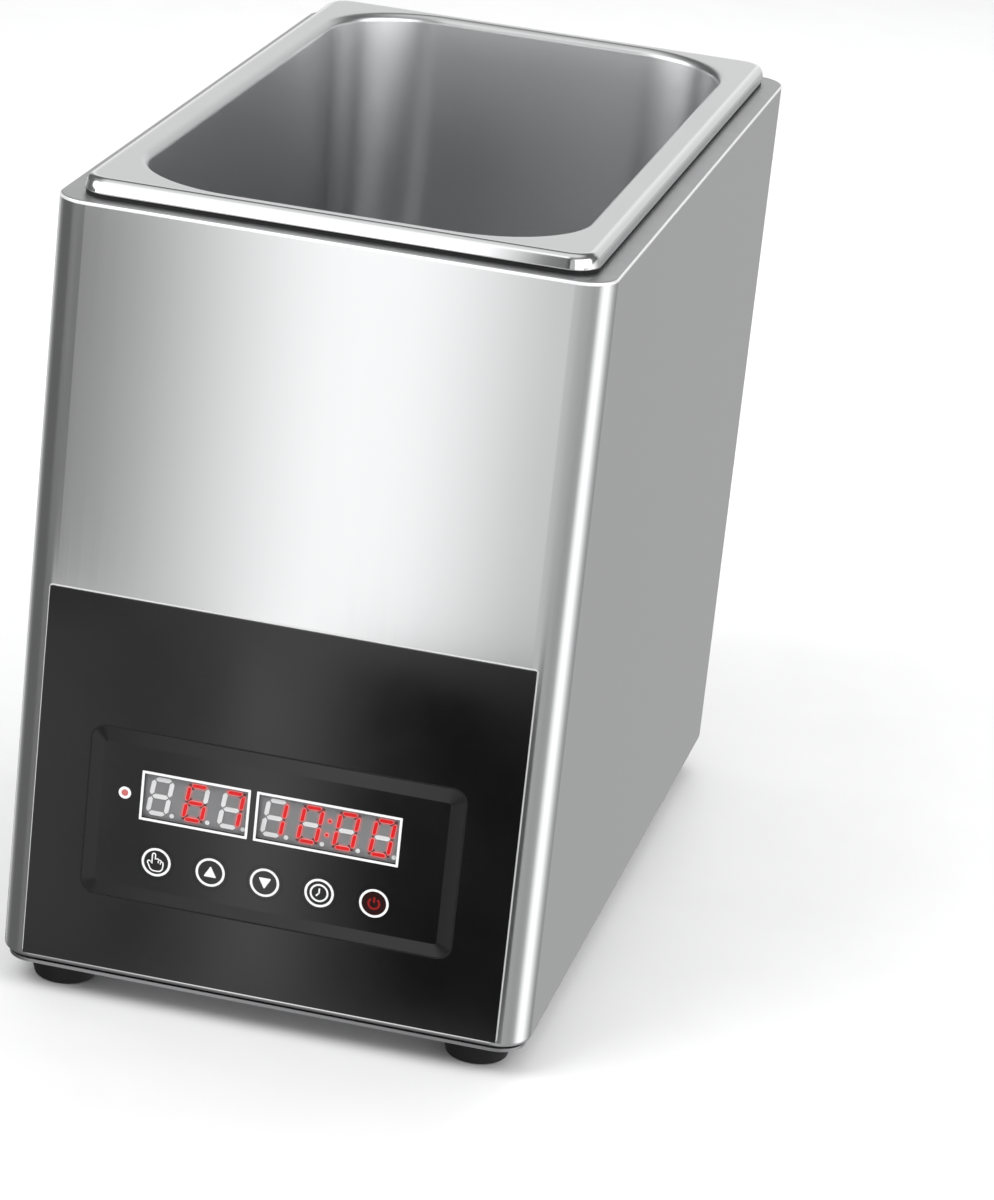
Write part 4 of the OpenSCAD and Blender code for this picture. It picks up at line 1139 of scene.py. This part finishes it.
@dataclass(frozen=True)
class LitDigits:
    """Bright middles of the lit segments, with a pale border left round them, and their red shine."""

    pitch: float = 12.7 * MM
    width: float = 8 * MM
    height: float = 14.2 * MM
    segment: float = 1.6 * MM
    gap: float = 0.35 * MM
    border: float = 0.16 * MM
    tip: float = 1.4
    shine: float = 0.75 * MM
    shine_lift: float = 0.01 * MM
    slant: float = 0.13
    colon: float = 2.6 * MM
    dot: float = 0.76 * MM
    lift: float = 0.03 * MM
    ink: float = 0.05 * MM
    # Display, number of its digits, place among them, and the lit bars, a to g in the usual order
    digits: tuple[tuple[str, int, int, str], ...] = (
        ("temp_display", 3, 1, "acdefg"), ("temp_display", 3, 2, "abc"), ("timer_display", 4, 0, "bc"),
        ("timer_display", 4, 1, "abcdef"), ("timer_display", 4, 2, "abcdef"), ("timer_display", 4, 3, "abcdef"),
    )

    def bar(self, start: Array, end: Array, border: float) -> Surface:
        """A pointed bar between two corners of a digit, with the digit's lean.

        Args:
            start: One corner.
            end: The other corner.
            border: How far the bar stays inside of the segment, or less than 0 where it stands out.

        Returns:
            The filled bar.
        """
        way = (end - start) / np.linalg.norm(end - start)
        half = self.segment / 2 - border
        side, tip = np.array([-way[1], way[0]]) * half, way * half
        inset = way * (self.gap + self.tip * border)
        p, q = start + inset, end - inset
        outline = np.array([p, p + tip - side, q - tip - side, q, q - tip + side, p + tip + side])
        outline[:, 0] += self.slant * outline[:, 1]
        return plate(outline, self.ink)

    def digit(self, lit: str, border: float) -> Surface:
        """Draws the lit bars of a digit round its middle.

        Args:
            lit: Letters of the lit bars.
            border: How far the bars stay inside of the segments.

        Returns:
            The bars.
        """
        x, y = (self.width - self.segment) / 2, (self.height - self.segment) / 2
        ends = {
            "a": ((-x, y), (x, y)), "b": ((x, y), (x, 0)), "c": ((x, 0), (x, -y)), "d": ((-x, -y), (x, -y)),
            "e": ((-x, -y), (-x, 0)), "f": ((-x, 0), (-x, y)), "g": ((-x, 0), (x, 0)),
        }
        return joined([self.bar(*(np.array(end, float) for end in ends[name]), border) for name in lit])

    def lay(self, border: float) -> Surface:
        """Lays the lit bars and the colon's dots of both displays in the plane of their faces.

        Args:
            border: How far they stay inside of the segments.

        Returns:
            The shapes, in the frame's width and height, with their backs at a depth of 0.
        """
        parts = []
        for display, count, k, lit in self.digits:
            middle = Box.of(display).middle
            x = middle.x + (k - (count - 1) / 2) * self.pitch
            parts.append(self.digit(lit, border).mapped(Matrix.Translation((x, 0.0, middle.z)) @ FRONT_TURN))
        dot = plate(arc_rows((0, 0), self.dot - border, 0, 360, 20)[:-1], self.ink)
        for rise in (-self.colon, self.colon):
            place = Matrix.Translation((middle.x + self.slant * rise, 0.0, middle.z + rise))
            parts.append(dot.mapped(place @ FRONT_TURN))
        return joined(parts)

    def build(self, finishes: Finishes) -> None:
        """Lays the bright middles on the lit segments and their red shine on the displays' faces.

        Args:
            finishes: The finishes.
        """
        layers = (
            ("lit_middles", self.border, "lit_segments", self.lift, "red_segment"),
            ("lit_shine", -self.shine, "temp_display", self.shine_lift, "red_shine"),
        )
        for name, border, ground, lift, finish in layers:
            shift = Matrix.Translation((0.0, Box.of(ground).low.y - lift, 0.0))
            make_piece(name, self.lay(border).mapped(shift), finishes.made[finish], Body.HOUSING)

# ---------------------------------------------------------------- studio


@dataclass(frozen=True)
class Card:
    """A card that only reflections see, with bands of light, each of which varies across the card."""

    name: str
    centre: Triple
    right: Triple
    up: Triple
    bands: tuple[Stops, ...]
    borders: Stops = ()

    def build(self) -> None:
        """Makes the card: a flat sheet whose light follows each band's stops from left to right.

        Going up, one band turns into the next between the two heights of their border.
        """
        centre, right, up = (np.array(v) for v in (self.centre, self.right, self.up))
        corners = [centre - right - up, centre + right - up, centre + right + up, centre - right + up]
        mesh = bpy.data.meshes.new(self.name)
        mesh.from_pydata([tuple(c) for c in corners], [], [(0, 1, 2, 3)])
        layer = mesh.uv_layers.new(name="card")
        layer.data.foreach_set("uv", np.array([0, 0, 1, 0, 1, 1, 0, 1], np.float32))
        material = bpy.data.materials.new(self.name)
        material.use_nodes = True
        g = Graph(material.node_tree)
        place = g.add("SeparateXYZ", None, Vector=g.add("UVMap", {"uv_map": "card"}).outputs[0])
        colors = [g.levels(place.outputs[0], stops) for stops in self.bands]
        glow = g.add("Emission", None, Color=g.stack(place.outputs[1], colors, self.borders), Strength=1.0)
        g.add("OutputMaterial", None, Surface=glow.outputs[0])
        mesh.materials.append(material)
        card = add_object(self.name, mesh)
        for kind in ("camera", "diffuse", "transmission", "volume_scatter", "shadow"):
            setattr(card, "visible_" + kind, False)


@dataclass(frozen=True)
class SoftLight:
    """A square soft light over the object, which reflections leave out: side in metres, power in watts."""

    name: str
    place: Triple
    aim: Triple
    side: float
    power: float

    def build(self) -> None:
        """Hangs the light in its place, turned towards its aim."""
        data = bpy.data.lights.new(self.name, "AREA")
        data.size = self.side
        data.energy = self.power
        lamp = add_object(self.name, data)
        turn = (Vector(self.aim) - Vector(self.place)).to_track_quat("-Z", "Y")
        lamp.matrix_world = Matrix.Translation(self.place) @ turn.to_matrix().to_4x4()
        lamp.visible_glossy = False


# Light of the front card's bands, from left to right: before the hem, the film and the steel above it
HEM_BAND: Stops = ((0.0, 0.5), (0.2, 0.6), (0.35, 1.5), (0.55, 1.3), (0.66, 0.5), (1.0, 0.3))
SLOPE_BAND: Stops = tuple((at, 0.72 * level) for at, level in HEM_BAND)
FILM_BAND: Stops = (
    (0.0, 0.75), (0.22, 0.80), (0.29, 0.50), (0.34, 0.75), (0.38, 1.6), (0.42, 1.2), (0.455, 0.5),
    (0.49, 0.05), (0.67, 0.02), (0.71, 0.66), (0.79, 0.66), (0.84, 0.05), (1.0, 0.05),
)
STEEL_BAND: Stops = (
    (0.0, 0.20), (0.18, 0.195), (0.26, 0.47), (0.32, 0.82), (0.40, 1.24), (0.48, 1.22), (0.545, 0.88),
    (0.575, 0.65), (0.66, 0.62), (0.78, 0.55), (1.0, 0.45),
)
# Light of the rim's card, and of the cards beside the object
RIM_BAND: Stops = ((0.0, 1.5), (0.74, 1.5), (0.86, 0.25), (1.0, 0.02))
RIGHT_BAND: Stops = (
    (0.0, 0.40), (0.07, 0.42), (0.18, 1.05), (0.27, 1.42), (0.38, 1.28), (0.50, 0.85), (0.70, 0.46),
    (1.0, 0.40),
)
LEFT_BAND: Stops = ((0.0, 0.13), (0.36, 0.14), (0.57, 0.35), (0.79, 0.85), (1.0, 0.45))


@dataclass(frozen=True)
class Studio:
    """Pale floor, soft light, reflection cards and the camera of the photograph."""

    azimuth_deg: float = 11.018
    elevation_deg: float = 19.368
    roll_deg: float = -6.2745
    distance: float = 1.70800
    shift_x: float = -0.031204
    shift_y: float = 0.039873
    lens: float = 138.749
    sensor: float = 36.0
    clip: tuple[float, float] = (0.05, 50.0)
    middle: Triple = (0.0, -0.00695, 0.1485)
    floor_half: float = 6.0
    # The room's level by degrees round the horizon: rear, left, front, right and rear again
    low_room: Stops = (
        (-180, 0.44), (-170, 0.20), (-158, 0.11), (-110, 0.13), (-60, 0.175), (-31, 0.205), (0, 0.45),
        (28, 0.45), (48, 0.36), (62, 0.37), (136, 0.42), (152, 0.28), (163, 0.40), (180, 0.44),
    )
    mid_room: Stops = (
        (-180, 0.95), (-155, 0.90), (-140, 0.12), (-85, 0.15), (-70, 2.8), (-42, 2.8), (-28, 1.5), (-16, 0.9),
        (-8, 0.30), (4, 0.04), (16, 0.04), (28, 2.0), (40, 3.0), (86, 3.0), (102, 0.2), (130, 0.12),
        (150, 0.68), (165, 0.74), (180, 0.90),
    )
    high_room: Stops = (
        (-180, 0.15), (-120, 0.12), (-70, 0.5), (-45, 1.2), (-8, 1.2), (5, 0.3), (60, 0.3), (120, 0.12),
        (180, 0.15),
    )
    overhead: float = 0.8
    room_borders: Stops = ((-0.20, 0.0), (0.45, 0.60), (0.82, 0.96))
    plain_light: Color = (0.93, 0.93, 0.94)
    plain_strength: float = 0.75
    lights: tuple[SoftLight, ...] = (
        SoftLight("key_light", (-0.9, -1.1, 1.7), (0.0, 0.0, 0.15), 1.2, 22.0),
        SoftLight("fill_light", (1.3, -0.6, 1.4), (0.0, 0.0, 0.15), 1.2, 14.0),
        SoftLight("rear_light", (0.2, 1.4, 1.5), (0.0, 0.0, 0.2), 1.0, 12.0),
    )
    cards: tuple[Card, ...] = (
        Card("front_card", (-0.02, -0.475, 0.07), (0.26, 0.0, 0.0), (0.0, 0.0, 0.37),
             (HEM_BAND, SLOPE_BAND, FILM_BAND, STEEL_BAND), ((0.055, 0.075), (0.215, 0.245), (0.435, 0.455))),
        Card("rim_card", (-0.03, -0.255, 0.320), (0.12, 0.0, 0.0), (0.0, 0.0, 0.045), (RIM_BAND,)),
        Card("right_card", (0.395, 0.0, 0.05), (0.0, 0.35, 0.0), (0.0, 0.0, 0.25), (RIGHT_BAND,)),
        Card("left_card", (-0.395, 0.0, 0.05), (0.0, 0.35, 0.0), (0.0, 0.0, 0.25), (LEFT_BAND,)),
    )

    def camera(self) -> None:
        """Sets up the camera: it looks along its own axis, from a place beside the object's middle."""
        a, e, r = (math.radians(v) for v in (self.azimuth_deg, self.elevation_deg, self.roll_deg))
        back = np.array([math.sin(a) * math.cos(e), -math.cos(a) * math.cos(e), math.sin(e)])
        right = np.array([math.cos(a), math.sin(a), 0.0])
        up = np.cross(back, right)
        rolled_right = math.cos(r) * right - math.sin(r) * up
        rolled_up = math.sin(r) * right + math.cos(r) * up
        aside = self.shift_x * rolled_right + self.shift_y * rolled_up
        spot = np.array(self.middle) - aside + self.distance * back
        data = bpy.data.cameras.new("photo_camera")
        data.sensor_width = self.sensor
        data.lens = self.lens
        data.clip_start, data.clip_end = self.clip
        camera = add_object("photo_camera", data)
        turn = Matrix(np.stack([rolled_right, rolled_up, back], 1).tolist())
        camera.matrix_world = Matrix.Translation(spot.tolist()) @ turn.to_4x4()
        bpy.context.scene.camera = camera

    def floor(self) -> None:
        """Lays a wide pale floor with a faint mottle, which reflections leave out."""
        half = self.floor_half
        mesh = bpy.data.meshes.new("floor")
        corners = [(-half, -half, 0), (half, -half, 0), (half, half, 0), (-half, half, 0)]
        mesh.from_pydata(corners, [], [(0, 1, 2, 3)])
        pale = Moulded("pale_floor", (0.86, 0.86, 0.86), 0.8, pores=300.0, relief=0.02, tint=0.02)
        mesh.materials.append(pale.make())
        floor = add_object("floor", mesh)
        floor.visible_glossy = False

    def world(self) -> None:
        """Sets the surroundings: even pale light, and for reflections a room with lights and dark parts.

        The room's level runs round the horizon, once for rays that go down, once for low and once for
        steep rays that go up, and it has a level of its own overhead. The borders are heights of the
        ray's direction.
        """
        world = bpy.data.worlds.new("studio_room")
        bpy.context.scene.world = world
        world.use_nodes = True
        g = Graph(world.node_tree)
        way = g.add("SeparateXYZ", None, Vector=g.add("TexCoord").outputs["Generated"])
        turn = g.math("ARCTAN2", way.outputs[0], g.math("MULTIPLY", way.outputs[1], -1.0))
        share = g.spread(turn, -math.pi, math.pi)
        bands: list[Any] = [
            g.levels(share, [((degrees + 180) / 360, level) for degrees, level in stops])
            for stops in (self.low_room, self.mid_room, self.high_room)
        ]
        room = g.stack(way.outputs[2], [*bands, (*(self.overhead,) * 3, 1.0)], self.room_borders)
        path = g.add("LightPath")
        seen = g.add("Background", None, Color=room, Strength=1.0)
        plain = g.add("Background", None, Color=(*self.plain_light, 1.0), Strength=self.plain_strength)
        glossy = path.outputs["Is Glossy Ray"]
        mix = g.add("MixShader", None, i0=glossy, i1=plain.outputs[0], i2=seen.outputs[0])
        g.add("OutputWorld", None, Surface=mix.outputs[0])

    def build(self) -> None:
        """Sets up everything and plain colour handling."""
        self.camera()
        self.floor()
        for light in self.lights:
            light.build()
        self.world()
        for card in self.cards:
            card.build()
        bpy.context.scene.view_settings.view_transform = "Standard"


def main() -> None:
    """Loads the construction, dresses it, adds the new pieces and sets up the studio."""
    logging.basicConfig(level=logging.INFO, format="%(name)s: %(message)s")
    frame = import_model()
    Studio().build()
    finishes = Finishes()
    finishes.build()
    finishes.dress(frame)
    DrawnPan().build(finishes.made["pan_steel"])
    PanelPrints().build(finishes)
    LitDigits().build(finishes)


if __name__ == "__main__":
    main()
